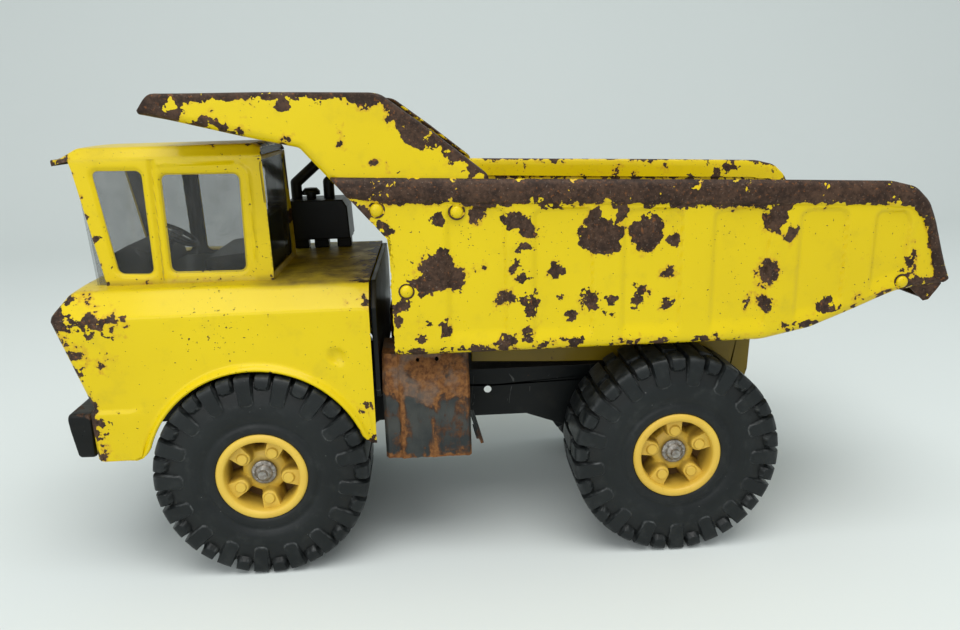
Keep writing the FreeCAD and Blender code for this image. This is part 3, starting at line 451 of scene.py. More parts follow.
def enamel(name, colour, shade, specks=0.15, gloss=0.3, dirt=1.0):
    """Chipped gloss enamel over rust. The bare and grime_and_shade attributes say where it is worn.
    """
    s = Shader(name)
    bare = s.math("SUBTRACT", s.attribute("bare"), FAR_FROM_BARE)
    inside = s.add(bare, s.wander(10, 2.0, 3), s.wander(3.6, 1.45, 3), s.wander(1.3, 0.5, 2))
    chip = s.step(inside, -0.08, 0.08)
    crowd = s.noise(46, 2)
    fleck = s.step(s.add(s.noise(3.4, 3, 0.6), s.times(crowd, specks)), 0.785, 0.796)
    fleck = s.math("MAXIMUM", fleck, s.step(s.add(s.noise(1.3, 1), s.times(crowd, specks)),
                                            0.825, 0.84))
    scratch = s.math("MAXIMUM", s.hairlines(30, 0.0024, (20, 30, 10), 0.30),
                     s.hairlines(19, 0.0030, (-25, -40, 60), 0.27))
    worn = s.math("MAXIMUM", chip, s.math("MAXIMUM", fleck, s.times(scratch, 0.8)))

    tone = s.mix(s.step(s.noise(120, 3), 0.3, 0.7), colour, shade)
    tone = s.mix(s.times(s.step(s.noise(15, 6, 0.65), 0.52, 0.8), 0.14 * dirt), tone, DUST)
    stain = s.times(s.step(inside, -2.4, 0.0), s.step(s.noise(17, 3), 0.38, 0.66))
    tone = s.mix(s.times(stain, 0.42), tone, RUST_ORANGE)
    dirt_and_shade_film = s.times(s.attribute("grime_and_shade"), s.scale(s.step(s.noise(16, 5, 0.6), 0.3, 0.66), 0.45, 1.0),
                   clamp=True)
    tone = s.mix(dirt_and_shade_film, tone, DUST)
    rust, rust_rough, rust_height = bare_rust(s)
    s.set(Base_Color=s.mix(worn, tone, rust))

    smear = s.scale(s.noise(26, 5, 0.6), gloss - 0.10, gloss + 0.16)
    smear = s.math("ADD", smear, s.times(dirt_and_shade_film, 0.35))
    rough = s.nodes.new("ShaderNodeMix")
    s.feed(rough.inputs[0], worn)
    s.feed(rough.inputs[2], smear)
    s.feed(rough.inputs[3], rust_rough)
    s.set(Roughness=rough.outputs[0], Specular_IOR_Level=0.20)
    s.set(Coat_Weight=s.times(s.math("SUBTRACT", 1.0, s.math("MAXIMUM", worn, dirt_and_shade_film)), 0.16))
    s.surface.inputs["Coat Roughness"].default_value = 0.10
    relief = s.add(s.times(s.math("SUBTRACT", 1.0, worn), 1.0),
                   s.times(s.times(worn, rust_height), 0.55), s.times(s.noise(1.3, 2), 0.03),
                   s.times(s.noise(9, 2), 0.10))
    s.set(Normal=s.bump(relief, 0.28, 0.9))
    return s.material


def black_enamel(name, rustiness):
    """Satin black paint, dusty, scratched, with rust breaking through."""
    s = Shader(name)
    bare = s.math("SUBTRACT", s.attribute("bare"), FAR_FROM_BARE)
    inside = s.add(bare, s.wander(12, 3.0), s.wander(3.4, 1.2))
    spots = s.step(s.add(s.noise(8, 5, 0.62), s.times(s.noise(60, 2), 0.3)),
                   0.93 - rustiness, 0.97 - rustiness)
    worn = s.math("MAXIMUM", s.step(inside, -0.3, 0.3), spots)
    scratch = s.math("MAXIMUM", s.hairlines(26, 0.003, (10, 20, 0), 0.45),
                     s.hairlines(15, 0.004, (60, -30, 20), 0.40))
    tone = s.mix(s.step(s.noise(40, 4), 0.35, 0.7), (0.0030, 0.0040, 0.0042),
                 (0.0070, 0.0082, 0.0082))
    dust = s.times(s.step(s.upward(), 0.1, 0.9), s.step(s.noise(14, 5, 0.6), 0.25, 0.6))
    dust = s.add(s.times(dust, 0.34), s.times(s.step(s.noise(18, 5, 0.62), 0.5, 0.8), 0.09))
    dirt_and_shade_film = s.math("MAXIMUM", dust, s.times(s.attribute("grime_and_shade"), s.noise(9, 4)))
    tone = s.mix(dirt_and_shade_film, tone, (0.085, 0.075, 0.060))
    tone = s.mix(s.times(scratch, 0.5), tone, (0.14, 0.14, 0.135))
    rust, _, rust_height = bare_rust(s)
    s.set(Base_Color=s.mix(worn, tone, rust), Specular_IOR_Level=0.17)
    s.set(Roughness=s.add(s.scale(s.noise(20, 5, 0.6), 0.26, 0.5), s.times(worn, 0.15),
                          s.times(dirt_and_shade_film, 0.25)))
    relief = s.add(s.times(worn, s.times(rust_height, 0.7)), s.times(s.noise(1.2, 3), 0.05),
                   s.times(scratch, -0.15))
    s.set(Normal=s.bump(relief, 0.25, 0.8))
    return s.material


def rusty_enamel():
    """The side steps: dark paint mostly eaten by streaky orange and brown rust."""
    s = Shader("rusty_black_enamel")
    streaks = s.noise(13, 6, 0.62, 0.6, s.stretch((1.0, 1.0, 0.28)))
    blots = s.noise(9, 7, 0.66, 0.4)
    level = s.height()
    top = s.step(s.add(level, s.wander(10, 4)), 101, 108)
    foot = s.step(s.add(level, s.wander(7, 3)), 71, 66.5)
    eaten = s.add(s.times(streaks, 0.62), s.times(blots, 0.45), s.times(top, 0.17),
                  s.times(foot, 0.16), s.times(s.attribute("grime_and_shade"), 0.16))
    base = s.mix(s.step(s.noise(22, 5), 0.35, 0.7), (0.014, 0.018, 0.019), (0.045, 0.047, 0.043))
    brown = s.mix(s.step(s.noise(4, 5, 0.6), 0.3, 0.7), (0.032, 0.014, 0.007),
                  (0.082, 0.040, 0.019))
    orange = s.mix(s.step(s.noise(3, 5, 0.65), 0.3, 0.7), (0.085, 0.029, 0.008),
                   (0.235, 0.100, 0.028))
    tone = s.mix(s.step(eaten, 0.52, 0.60), base, brown)
    tone = s.mix(s.step(eaten, 0.585, 0.67), tone, orange)
    pale = s.times(top, s.step(s.noise(16, 4), 0.48, 0.6))
    tone = s.mix(s.times(pale, 0.5), tone, (0.13, 0.115, 0.10))
    s.set(Base_Color=tone, Specular_IOR_Level=0.30)
    s.set(Roughness=s.scale(s.step(eaten, 0.45, 0.65), 0.42, 0.78))
    s.set(Normal=s.bump(s.add(s.times(s.step(eaten, 0.5, 0.6), 0.5), s.times(s.noise(1.4, 6), 0.6)),
                        0.35, 0.9))
    return s.material


def rubber():
    """Tyres: nearly black, scuffed, paler along their lugs' edges and crowns: partly worn rubber,
    partly a painted highlight.
    """
    s = Shader("tyre_rubber")
    scuff = s.step(s.noise(9, 6, 0.65), 0.5, 0.82)
    edge = s.attribute("bare")
    tone = s.mix(s.step(s.noise(35, 4), 0.3, 0.7), (0.0040, 0.0058, 0.0064),
                 (0.0088, 0.0112, 0.0118))
    tone = s.mix(s.times(scuff, 0.16), tone, (0.10, 0.105, 0.10))
    # Lugs' outlines and crowns go paler grey: partly wear, partly a painted highlight on their
    # edges.
    tone = s.mix(s.times(edge, s.scale(s.step(s.noise(7, 5, 0.6), 0.40, 0.68), 0.02, 0.55)),
                 tone, (0.17, 0.18, 0.18))
    tone = s.mix(s.times(s.attribute("grime_and_shade"), s.scale(s.noise(7, 4), 0.1, 0.6)), tone,
                 (0.012, 0.012, 0.011))
    grit = s.step(s.noise(1.7, 1), 0.80, 0.84)
    tone = s.mix(s.times(grit, 0.35), tone, (0.4, 0.4, 0.38))
    s.set(Base_Color=tone, Specular_IOR_Level=0.27)
    s.set(Roughness=s.scale(s.noise(8, 5, 0.6), 0.28, 0.52))
    relief = s.add(s.noise(1.1, 4, 0.6), s.times(s.noise(6, 3), 0.6))
    s.set(Normal=s.bump(relief, 0.10, 0.8))
    return s.material


def moulded(name, colour, shade, rough, dirt, shine=0.45, grainy=0.05):
    """Moulded plastic with grime in its corners, and on the hubs painted shade in their recesses.
    """
    s = Shader(name)
    tone = s.mix(s.step(s.noise(26, 4), 0.3, 0.7), colour, shade)
    dirt_and_shade_film = s.add(s.times(s.attribute("grime_and_shade"), s.scale(s.noise(5, 4), 0.35, 1.25)),
                 s.times(s.step(s.noise(6, 6, 0.65), 0.58, 0.82), 0.20))
    tone = s.mix(s.math("MINIMUM", dirt_and_shade_film, 0.95), tone, dirt)
    scratch = s.hairlines(11, 0.004, (15, 30, 40), 0.4)
    tone = s.mix(s.times(scratch, 0.3), tone, dirt)
    s.set(Base_Color=tone, Specular_IOR_Level=shine)
    s.set(Roughness=s.add(s.scale(s.noise(9, 4), rough - 0.07, rough + 0.09),
                          s.times(s.attribute("grime_and_shade"), 0.2)))
    s.set(Normal=s.bump(s.add(s.noise(1.2, 3), s.times(scratch, -1.0)), grainy, 0.7))
    return s.material


def hazed_clear():
    """Windows: clear plastic with haze and scratches."""
    s = Shader("hazed_clear_plastic")
    haze = s.step(s.noise(24, 6, 0.6), 0.3, 0.8)
    scratch = s.math("MAXIMUM", s.hairlines(22, 0.003, (0, 40, 10), 0.42),
                     s.hairlines(12, 0.004, (30, -20, 70), 0.38))
    s.set(Base_Color=s.mix(haze, (0.045, 0.050, 0.050), (0.10, 0.10, 0.095)))
    s.set(Roughness=s.scale(haze, 0.08, 0.26), Specular_IOR_Level=0.55)
    s.set(Alpha=s.add(s.scale(haze, 0.20, 0.32), s.times(scratch, 0.15),
                      s.times(s.attribute("grime_and_shade"), 0.45)))
    s.set(Normal=s.bump(s.noise(30, 2), 0.5, 0.5))
    return s.material


def worn_steel():
    """Axles and the small steel parts: dull zinc with some rust."""
    s = Shader("dull_zinc")
    rusty = s.step(s.noise(4, 6, 0.65), 0.46, 0.66)
    tone = s.mix(s.step(s.noise(2.2, 4), 0.3, 0.7), (0.20, 0.19, 0.17), (0.38, 0.36, 0.33))
    tone = s.mix(s.times(rusty, 0.55), tone, (0.11, 0.065, 0.038))
    s.set(Base_Color=tone, Metallic=s.scale(rusty, 0.85, 0.35))
    s.set(Roughness=s.scale(s.noise(3, 5, 0.6), 0.32, 0.62))
    s.set(Normal=s.bump(s.noise(0.9, 5, 0.6), 0.12, 0.8))
    return s.material


YELLOW = enamel("yellow_enamel", (0.69, 0.515, 0.0012), (0.63, 0.460, 0.0010))
# Darker yellow enamel for the bed's subframe: some dirt, mostly painted shade for the shadow the
# bed casts on it.
SHADED_DIRTY_YELLOW = enamel("painted_shade_dirty_yellow_enamel", (0.20, 0.135, 0.003), (0.13, 0.085, 0.003))
BLACK = black_enamel("black_enamel", 0.10)
STEP = rusty_enamel()
RUBBER = rubber()
# The hubs' dirt colour also paints shade into their pockets and barrel.
HUB = moulded("yellow_plastic", (0.70, 0.470, 0.058), (0.64, 0.405, 0.045), 0.42,
              (0.085, 0.036, 0.008))
BLACK_PLASTIC = moulded("black_plastic", (0.0035, 0.0042, 0.0042), (0.0065, 0.0072, 0.0070), 0.38,
                        (0.030, 0.026, 0.020), 0.16)
# Dark brown for the inner faces of the cab pressing.
CAB_INSIDE = moulded("cab_inside_dark_brown", (0.052, 0.043, 0.030), (0.035, 0.030, 0.022), 0.6,
                     (0.020, 0.016, 0.011))
CLEAR = hazed_clear()
LAMP = moulded("lamp_plastic", (0.62, 0.61, 0.56), (0.50, 0.49, 0.44), 0.16, (0.10, 0.08, 0.05))
STEEL = worn_steel()


# ------------------------------------------------------------------ dump bed

BED_SHEET = 1.2
RIM_TALL = 13.5             # the rolled rim along the top of each side wall
BEND = 4.0                  # radius of the bends between floor and walls
FLOOR_HALF, WING_FOOT_HALF = 88.5, 87.5
LEVEL_END_Z = 133.6         # the floor's edge is below this where it is level
GUSSET_Y = 90.6
FAR_SIDE_SHIFT = -170.0
PANEL_DEPTH = 1.7
PANELS = ((-2, 32), (-50.2, -15.2), (-99.6, -64.7), (-148.7, -115), (-192.7, -163.7),
          (-229, -206.7))
RIVETS = ((67.0, 95.0, 214.4), (24.6, 94.7, 212.0), (53.3, 93.8, 169.3),
          (-226.9, 93.5, 163.6))
# bare patches on the outside of the left wall: x, z, half the width and half the height
BED_SPOTS = (
    (36, 180, 12, 12), (29, 176, 9, 9), (40, 172, 9, 8), (58, 161, 5, 5), (57, 152, 5, 4),
    (42, 150, 5, 2.2), (34, 150, 3.2, 5.5), (14, 210, 5, 5), (20, 216, 12, 3),
    (-8, 207, 6, 6), (-15, 200, 6, 4.5), (-12.5, 191, 5.5, 3.6), (-6, 181, 3.6, 4),
    (-10, 176, 3.6, 4.4), (-3, 163, 6, 4.4), (-9, 162, 6, 3.8), (-16, 156, 4.4, 8),
    (-29.5, 177, 4.5, 4.5), (-48, 160, 6.5, 6), (-62, 160, 5, 4.5), (-60, 152, 3, 3),
    (-76, 161, 5, 7), (-55, 196, 13.5, 11), (-66, 206, 4.6, 10), (-50, 206, 3.2, 9),
    (-80, 196, 11, 12), (-73, 200, 6, 6), (-93, 193, 6, 5), (-37, 153, 4.5, 4), (-33, 162, 2, 3),
    (-2, 137, 9, 3.6), (-13, 140, 3, 4), (-38, 135.6, 26, 1.9), (47, 143, 2.6, 3.6),
    (35, 208, 3, 3), (11, 181, 3, 2), (-152, 203, 8, 8.5), (-156, 209, 6, 7),
    (-160, 196, 3.6, 6), (-147.5, 171.5, 6, 7.2), (-148, 154, 4.5, 3.4), (-138, 155, 2.6, 4),
    (-189, 149, 9, 3.4), (-185, 154, 3, 4), (-213, 152, 8, 2.2), (-172, 140, 14, 1.8),
    (-203, 178, 1.6, 2), (-91, 173, 3, 2.4), (-92, 155, 4, 3.6), (-216, 155, 13, 1.8),
    (-238, 162, 12, 3.4), (-231, 176, 3, 7), (68, 204, 9, 5), (75, 214, 9, 6),
)
# corners of a side wall: x and z on its top edge, x and z on its bottom edge
TUB_KEYS = (
    (90.6, 232.0, 61.5, 197.6), (62.0, 231.0, 61.5, 196.0), (30.0, 229.8, 61.5, 133.2),
    (18.0, 229.2, 52.0, 132.4), (-155.0, 223.3, -148.0, 132.8), (-192.0, 221.8, -176.0, 138.6),
    (-215.0, 220.9, -196.0, 146.4), (-229.0, 217.2, -209.0, 151.8), (-237.0, 209.5, -217.0, 155.2),
    (-241.8, 199.0, -225.0, 158.2), (-247.8, 181.0, -237.0, 160.2), (-253.6, 165.4, -248.5, 161.4),
)
# the rim's section: how far below the wall's top, how far out from the wall, and how bare
RIM = (
    (-12.9, 0.7, 1.2), (-11.8, 1.5, 2.6), (-9.6, 1.95, 3.6),
    (-7.0, 2.05, 3.6), (-4.6, 1.85, 3.4), (-2.6, 1.35, 3.2), (-1.2, 0.55, 2.6),
    (-0.55, -0.45, 1.6), (-0.75, -1.5, 0.2), (-1.9, -2.2, -1.6), (-5.0, -2.3, -3.2),
    (-9.0, -2.3, -4.0), (-13.0, -2.2, -4.0),
)
TAIL_LIP = ((-248.5, 161.4), (-251.2, 162.3), (-252.9, 162.1), (-253.0, 160.6),
            (-251.0, 157.6), (-248.4, 154.4), (-245.6, 151.6))


def wall_y(z):
    """Half the bed's width at a height: the side walls lean out."""
    return 92.5 + 2.2 * np.clip((z - 133) / 98, 0, 1)


def wing_y(z):
    """The same for the canopy's wings."""
    return 90.6 + 2.3 * ease(z, 190, 233)


def panel_depth(x, z, bottom, high_z):
    """1 in a pressed panel and 0 on the plain wall. The panels fade out above the bottom edge
    and stop at high_z."""
    floor_z = np.interp(x, bottom[:, 2], bottom[:, 3])
    fade = ease(z, floor_z + 3.6, floor_z + 14.0)
    sunk = np.zeros(len(x))
    for rear, front in PANELS:
        away = box_distance(x, z, rear, front, 120, high_z, 6)
        soft = 1.2 + 2.6 * ease(x, (rear + front) / 2, front)
        sunk = np.maximum(sunk, ease(-away / soft, -0.1, 1.0) * fade)
    return sunk


def tub_wall(sheet, columns, bottom, side):
    """One side wall with its rolled rim. bottom holds the columns that stand on the floor's
    bend, rear ones first."""
    rows = spread(0, 1, 60)
    block, bare = [], []
    for i, (tx, tz, bx, bz) in enumerate(columns):
        top, foot = np.array((tx, tz)), np.array((bx, bz))
        tall = np.linalg.norm(top - foot)
        up = (top - foot) / tall
        squeeze = min(1.0 - 0.36 * float(ease(tx, -218, -240)), tall * 0.62 / RIM_TALL)
        start = foot + up * (BEND if i >= len(columns) - len(bottom) else 0.0)
        end = top - up * RIM_TALL * squeeze
        x, z = (start + np.outer(rows, end - start)).T
        y = wall_y(z) - PANEL_DEPTH * panel_depth(x, z, bottom, end[1] - 1.5)
        column = list(zip(x, side * y, z))
        wear = list(np.clip(np.maximum((rows - 1) * tall * 0.6, -0.9 - rows * tall),
                            -FAR_FROM_BARE, 0))
        for down, out, worn in RIM:
            p = top + up * down * squeeze
            column.append((p[0], side * (wall_y(end[1]) + out), p[1]))
            wear.append(worn)
        block.append(column)
        bare.append(wear)
    block = np.array(block)
    points = block.reshape(-1, 3)
    if side < 0:            # the far side has the same spots, counted from its other end
        points = points * np.array((-1, 1, 1)) + np.array((FAR_SIDE_SHIFT, 0, 0))
    sheet.grid(block, np.maximum(np.array(bare).reshape(-1), patches(points, BED_SPOTS)))


def tub_floor(sheet, columns):
    """The floor, with a round bend up into each wall, and the worn lip at its tail."""
    rows = spread(-FLOOR_HALF, FLOOR_HALF, 46)
    block = []
    for tx, tz, bx, bz in columns:
        up = np.array((tx - bx, tz - bz))
        up = up / np.linalg.norm(up)
        bend = []
        for angle in (90, 67, 45, 22):
            a = math.radians(angle)
            rise = BEND * (1 - math.cos(a))
            bend.append((bx + up[0] * rise, -FLOOR_HALF - BEND * math.sin(a), bz + up[1] * rise))
        block.append(bend + [(bx, y, bz) for y in rows] + [(x, -y, z) for x, y, z in bend[::-1]])
    block = np.array(block)
    level = np.abs(block[:, :, 1]) < FLOOR_HALF - 0.1
    inner = block[:, 4:-4]
    inner[:, :, 2] += 0.35 * undulation(inner.reshape(-1, 3), 38).reshape(inner.shape[:2])
    sheet.grid(block, np.where(level, -1.0, -0.6), np.where(level, 0.9, 0.0))
    lip = np.array([[(x, y, z) for y in rows] for x, z in TAIL_LIP])
    sheet.grid(lip, np.full(lip.shape[:2], 2.6))


def make_tub():
    """Floor and side walls in one sheet. A column joins a point on a wall's top edge to one on
    its bottom edge."""
    columns = sampled(TUB_KEYS, 1.7, 2)
    level = next(i for i, c in enumerate(columns) if c[3] < LEVEL_END_Z)
    sheet = Sheet()
    for side in (1, -1):
        tub_wall(sheet, columns, columns[level:][::-1], side)
    tub_floor(sheet, columns[level:])
    piece("bed_side_walls_and_floor", sheet, "dump_bed", YELLOW, ["bed_tub"],
          BED_SHEET, weld=0.6)


def make_gussets():
    """Small plates that close the corners between the tail lip and the side walls."""
    sheet = Sheet()
    for side in (1, -1):
        tab = sampled(((-251.8, 161.6, -233.0, 160.4), (-245.4, 152.0, -242.6, 151.4)), 1.5)
        block = np.array([[(a + (c - a) * t, side * (GUSSET_Y - 0.8 * t), b + (d - b) * t)
                           for t in spread(0, 1, 12)] for a, b, c, d in tab])
        sheet.grid(block, np.full(block.shape[:2], 2.4))
    piece("bed_tail_gussets", sheet, "dump_bed", YELLOW, (), BED_SHEET)


CANOPY_KEYS = (
    (39.5, 134.5, 60.8, 134.5), (39.5, 183.0, 60.8, 183.0), (7.2, 206.0, 62.2, 198.4),
    (6.6, 230.4, 76.0, 214.2), (37.0, 254.8, 91.2, 231.4), (61.5, 273.2, 103.0, 245.0),
    (66.0, 274.2, 105.5, 248.0), (122.0, 275.9, 135.0, 254.8), (174.0, 276.4, 166.0, 262.7),
    (178.2, 276.6, 172.0, 264.2), (181.0, 274.6, 176.5, 265.1), (184.9, 268.6, 184.4, 266.9),
)
CANOPY_SPOTS = (
    (181, 270, 11, 11), (170, 265, 12, 5), (152, 262, 14, 4), (176, 276, 15, 8),
    (160, 275, 16, 5.5), (140, 275.5, 16, 5), (148, 268, 3, 4), (121, 276, 20, 6),
    (112, 270, 4, 5), (100, 276, 14, 4), (87, 275, 12, 6.5), (70, 273, 12, 6),
    (143, 258, 5, 3.5), (137, 257, 6, 2.6), (118, 264, 1.8, 1.4), (84, 250, 1.5, 3),
    (52, 262, 9, 6), (44, 254, 8, 7), (36, 250, 8, 5), (25, 242, 9, 4.4), (13, 234, 7, 3.2),
    (66, 238, 2, 1.5), (62, 237, 1.6, 1.5), (48, 236, 1.4, 1.4), (112, 251, 3, 2),
)
# the flange's section: how far in, how far below the wing's top, and how bare
FLANGE = ((0.45, 0.9, 2.6), (1.4, 0.6, 2.6), (3.4, 0.5, 3.4), (6.0, 0.5, 3.0), (8.4, 0.6, 0.6),
          (9.4, 1.2, -1.5))
FRONT_WALL_SPOTS = (
    (110, 40, 250, 8), (118, 49, 252, 5), (101, 33, 246, 4), (150, -30, 259, 11),
    (141, -44, 257, 6), (70, 0, 207, 7), (76, 12, 213, 5), (63, -50, 180, 6),
    (61, -38, 171, 4), (61, 34, 158, 5), (61, 45, 165, 3), (128, 62, 255, 4),
)


def front_wall(sheet, columns):
    """Front wall and canopy floor, whose front part is pressed into two shallow trays."""
    rows = spread(-WING_FOOT_HALF, WING_FOOT_HALF, 44)
    floor = np.array([[(px, y, pz) for y in rows] for _, _, px, pz in columns])
    tray = ease(floor[:, :, 0], 100, 118)
    for ridge_y in (-56.0, 0.0, 56.0):
        near = np.abs(floor[:, :, 1] - ridge_y)
        floor[:, :, 2] += 1.6 * tray * ease(near, 8.0, 4.5) * ease(floor[:, :, 0], 184, 172)
    rim_wear = -np.minimum(np.abs(184.4 - floor[:, :, 0]), FAR_FROM_BARE) + 4.0
    marks = blots(floor.reshape(-1, 3), FRONT_WALL_SPOTS).reshape(floor.shape[:2])
    sheet.grid(floor, np.maximum(rim_wear, marks), 0.35)


def canopy_wing(sheet, columns, side):
    """A wing: a round bend up from the canopy floor, a wall, and a flange turned inwards."""
    block, bare = [], []
    for tx, tz, px, pz in columns:
        path, top = np.array((px, pz)), np.array((tx, tz))
        tall = np.linalg.norm(top - path)
        up = (top - path) / tall
        flange = float(ease(tz, 229, 236)) * min(1.0, tall / 12)
        column, wear = [], []
        bend = min(BEND, tall * 0.5)
        for angle in (0, 22, 45, 67, 90):
            a = math.radians(angle)
            p = path + up * bend * (1 - math.cos(a))
            out = (wing_y(tz) - WING_FOOT_HALF) * math.sin(a)
            column.append((p[0], side * (WING_FOOT_HALF + out), p[1]))
            wear.append(-6.0)
        start, end = path + up * bend, top - up * min(1.6, tall * 0.2)
        for t in spread(0, 1, 30)[1:]:
            p = start + (end - start) * t
            column.append((p[0], side * wing_y(p[1]), p[1]))
            edge = 2.2 - tall * (1 - t) if flange > 0.5 else -FAR_FROM_BARE
            wear.append(max(-FAR_FROM_BARE, edge))
        for inward, down, worn in FLANGE:
            p = top - up * down
            column.append((p[0], side * (wing_y(tz) - inward * flange), p[1]))
            wear.append(worn)
        block.append(column)
        bare.append(wear)
    block = np.array(block)
    points = block.reshape(-1, 3) + (0 if side > 0 else np.array((9, 0, -1.5)))
    sheet.grid(block, np.maximum(np.array(bare).reshape(-1), patches(points, CANOPY_SPOTS)))


def make_canopy():
    """Front wall of the bed and the canopy over the cab, with wings folded up each side. A
    column joins a point on a wing's top edge to one on the wall's and canopy's profile."""
    columns = sampled(CANOPY_KEYS, 1.5, 2)
    sheet = Sheet()
    front_wall(sheet, columns)
    for side in (1, -1):
        canopy_wing(sheet, columns, side)
    piece("bed_front_and_canopy", sheet, "dump_bed", YELLOW, ["bed_canopy"],
          BED_SHEET, weld=0.25)


def dome(sheet, centre, radius, tall, axis):
    """A round rivet head that stands along the axis, with a rusty ring round its foot."""
    rings, around = 7, 20
    axis = np.array(axis, float)
    across = np.cross(axis, (0.31, 0.11, 0.94))
    across /= np.linalg.norm(across)
    other = np.cross(axis, across)

    def ring(r, rise):
        return [np.array(centre) + axis * rise + (across * math.cos(t) + other * math.sin(t)) * r
                for t in spread(0, 2 * math.pi, around + 1)[:-1]]

    rows = [ring(radius * 1.36, -0.1), ring(radius * 1.3, 0.25), ring(radius * 1.06, 0.25)]
    wear = [[2.4] * around] * 2 + [[1.6] * around]
    for i in range(rings):
        a = math.radians(90 * i / (rings - 1))
        rows.append(ring(radius * math.cos(a) + 1e-3, tall * math.sin(a)))
        wear.append([-2.0 - i * 2.0] * around)
    sheet.grid(np.array(rows), np.array(wear), ring=True)


def make_rivets():
    """The rivet heads on the bed's sides."""
    sheet = Sheet()
    for x, y, z in RIVETS:
        for side in (1, -1):
            dome(sheet, (x, side * y, z), 3.4, 1.9, (0, side, 0))
    piece("bed_rivet_heads", sheet, "dump_bed", YELLOW, ["bed_rivets"],
          sharp=60, weld=0.005)


make_tub()
make_gussets()
make_canopy()
make_rivets()


# ------------------------------------------------------------------ hood and fenders

DECK = high("body_shell").z
BODY_HALF = 85.0
SHOULDER = 158.5
REAR_X = low("body_shell").x
ARCH_X, ARCH_Z, ARCH_RADIUS = 142.5, 62.0, 68.3
FOOT_Z, CREASE_Z = 75.6, 106.0
CORNER = 3.2                # radius of the bend from side wall to front face
DIMPLE = (94.5, 131.2)      # x and z of a small round dent in each side
# the lip's section: how far in from the edge, how far out, and the same for the skirt's fold
LIP = ((0, 0, 0), (0.9, 0.25, 0.1), (1.8, 1.05, 0.3), (2.6, 2.2, 0.5), (3.3, 3.1, 0.6),
       (3.9, 3.45, 0.6), (4.3, 3.2, 0.4), (4.35, 2.4, 0.2))
BODY_PATCHES = (
    (249, 85, 159, 5.6), (247, 84, 163, 4.6), (243, 85, 158, 6), (237, 85, 157.6, 5),
    (231, 85, 157.4, 4.2), (225, 85, 157.4, 3.6), (219, 85, 157.5, 3.0), (212, 85, 158, 2.0),
    (244, 82, 165, 3.6), (240, 76, 169, 2.8), (238, 85, 153, 3), (231, 85, 149, 2.2),
    (247, 85, 151, 3.6), (244, 85, 146, 3.2), (242, 85, 139, 3.4), (240, 85, 131, 3.0),
    (236, 85, 124, 1.8), (235, 85, 116, 1.4), (246, 85, 155, 3.4), (234, 85, 109, 2.6),
    (233, 85, 101, 4.4), (229, 85, 98, 2.2), (232, 85, 78, 3.6), (222, 85, 75, 1.6),
    (77, 85, 79, 3), (76, 85, 161, 3.2), (78, 82, 163, 2.0), (79, 85, 101, 0.6),
    (234, 85, 95, 6.0), (229, 85, 97, 5.0),
    (224, 85, 99, 2.0), (244, 50, 169, 4), (246, 10, 168, 3), (245, -40, 167, 5),
    (246, -84, 160, 7), (240, -85, 130, 4), (236, -85, 80, 5), (76, -85, 120, 4), (77, -85, 82, 4),
    (75, 40, 172, 5), (75, -30, 172, 7), (234, 85, 92, 1.8), (231, 85, 86, 1.0),
)
BODY_HALOES = (
    (248, 84, 160, -0.6, 0.085), (240, 86, 138, -1.6, 0.10), (234, 86, 95, -1.2, 0.12),
    (78, 84, 162, -1.8, 0.11), (78, 86, 90, -2.2, 0.10), (247, 0, 164, -2.0, 0.05),
    (76, 0, 172, -1.4, 0.06),
)
BODY_SPOTS = BODY_PATCHES + BODY_HALOES


def face_x(y, z):
    """Where the front face stands: it leans back to the skirt and bows out in the middle."""
    lean = np.interp(z, (FOOT_Z, CREASE_Z - 3.5, CREASE_Z, 157.5, 160.0, DECK - 1.2, DECK),
                     (234.0, 234.8, 232.2, 248.4, 248.3, 239.2, 237.6))
    return lean + 4.2 * (1 - (np.abs(y) / BODY_HALF) ** 2)


def body_half_section(foot_z):
    """Half a section: side wall with its crease, chamfer and deck, foot to middle."""
    share = (SHOULDER - foot_z) / (SHOULDER - FOOT_Z)
    crease = foot_z + (CREASE_Z - FOOT_Z) * share
    rows = [(BODY_HALF, z) for z in np.concatenate([
        spread(foot_z, crease - 3.4 * share, 10), spread(crease - 2.4 * share, crease + share, 4),
        spread(crease + 3 * share, SHOULDER - 1.2, 18)])]
    rows += [(84.9, SHOULDER - 0.3), (84.35, SHOULDER + 0.55)]
    rows += [(84.35 - 10.2 * t, SHOULDER + 0.55 + 11.3 * t) for t in spread(0, 1, 7)[1:-1]]
    rows += [(74.15, DECK - 1.65), (73.2, DECK - 0.95), (71.8, DECK - 0.55)]
    return rows + [(y, DECK - 0.5) for y in spread(71, 0, 24)]


def body_feet():
    """Points along a side wall's bottom edge: rear corner, wheel arch, skirt to the front."""
    turn = [math.radians(a) for a in spread(163.8, 13.0, 74)]
    feet = [(REAR_X + 0.6, 78.9), (77.4, 79.2)]
    feet += [(ARCH_X + ARCH_RADIUS * math.cos(a), ARCH_Z + ARCH_RADIUS * math.sin(a))
             for a in turn]
    return feet + [(x, FOOT_Z) for x in spread(212.5, 229.5, 9)]


def body_rings(feet):
    """Sections across the body, one from each foot, and five that round its front edge."""
    count = len(feet)
    tops = np.interp(np.arange(count), (0, 2, count - 10, count - 1),
                     (REAR_X + 0.6, 80.0, 210.0, 233.0))
    block = []
    for i, ((foot_x, foot_z), top_x) in enumerate(zip(feet, tops)):
        half = body_half_section(foot_z)
        to_front = float(ease(i, count - 10, count - 1))
        ring = []
        for y, z in half + [(-y, z) for y, z in reversed(half[:-1])]:
            t = min(1.0, max(0.0, (z - foot_z) / (SHOULDER - foot_z)))
            x = foot_x + (top_x - foot_x) * t
            ring.append((x + (face_x(y, z) - CORNER - x) * to_front, y, z))
        block.append(ring)
    for k in range(1, 6):
        a = math.radians(90 * k / 5)
        block.append([(face_x(y, z) - CORNER + CORNER * math.sin(a), y, z)
                      for y, z in body_loop_inset(FOOT_Z, CORNER * (1 - math.cos(a)))])
    return np.array(block)


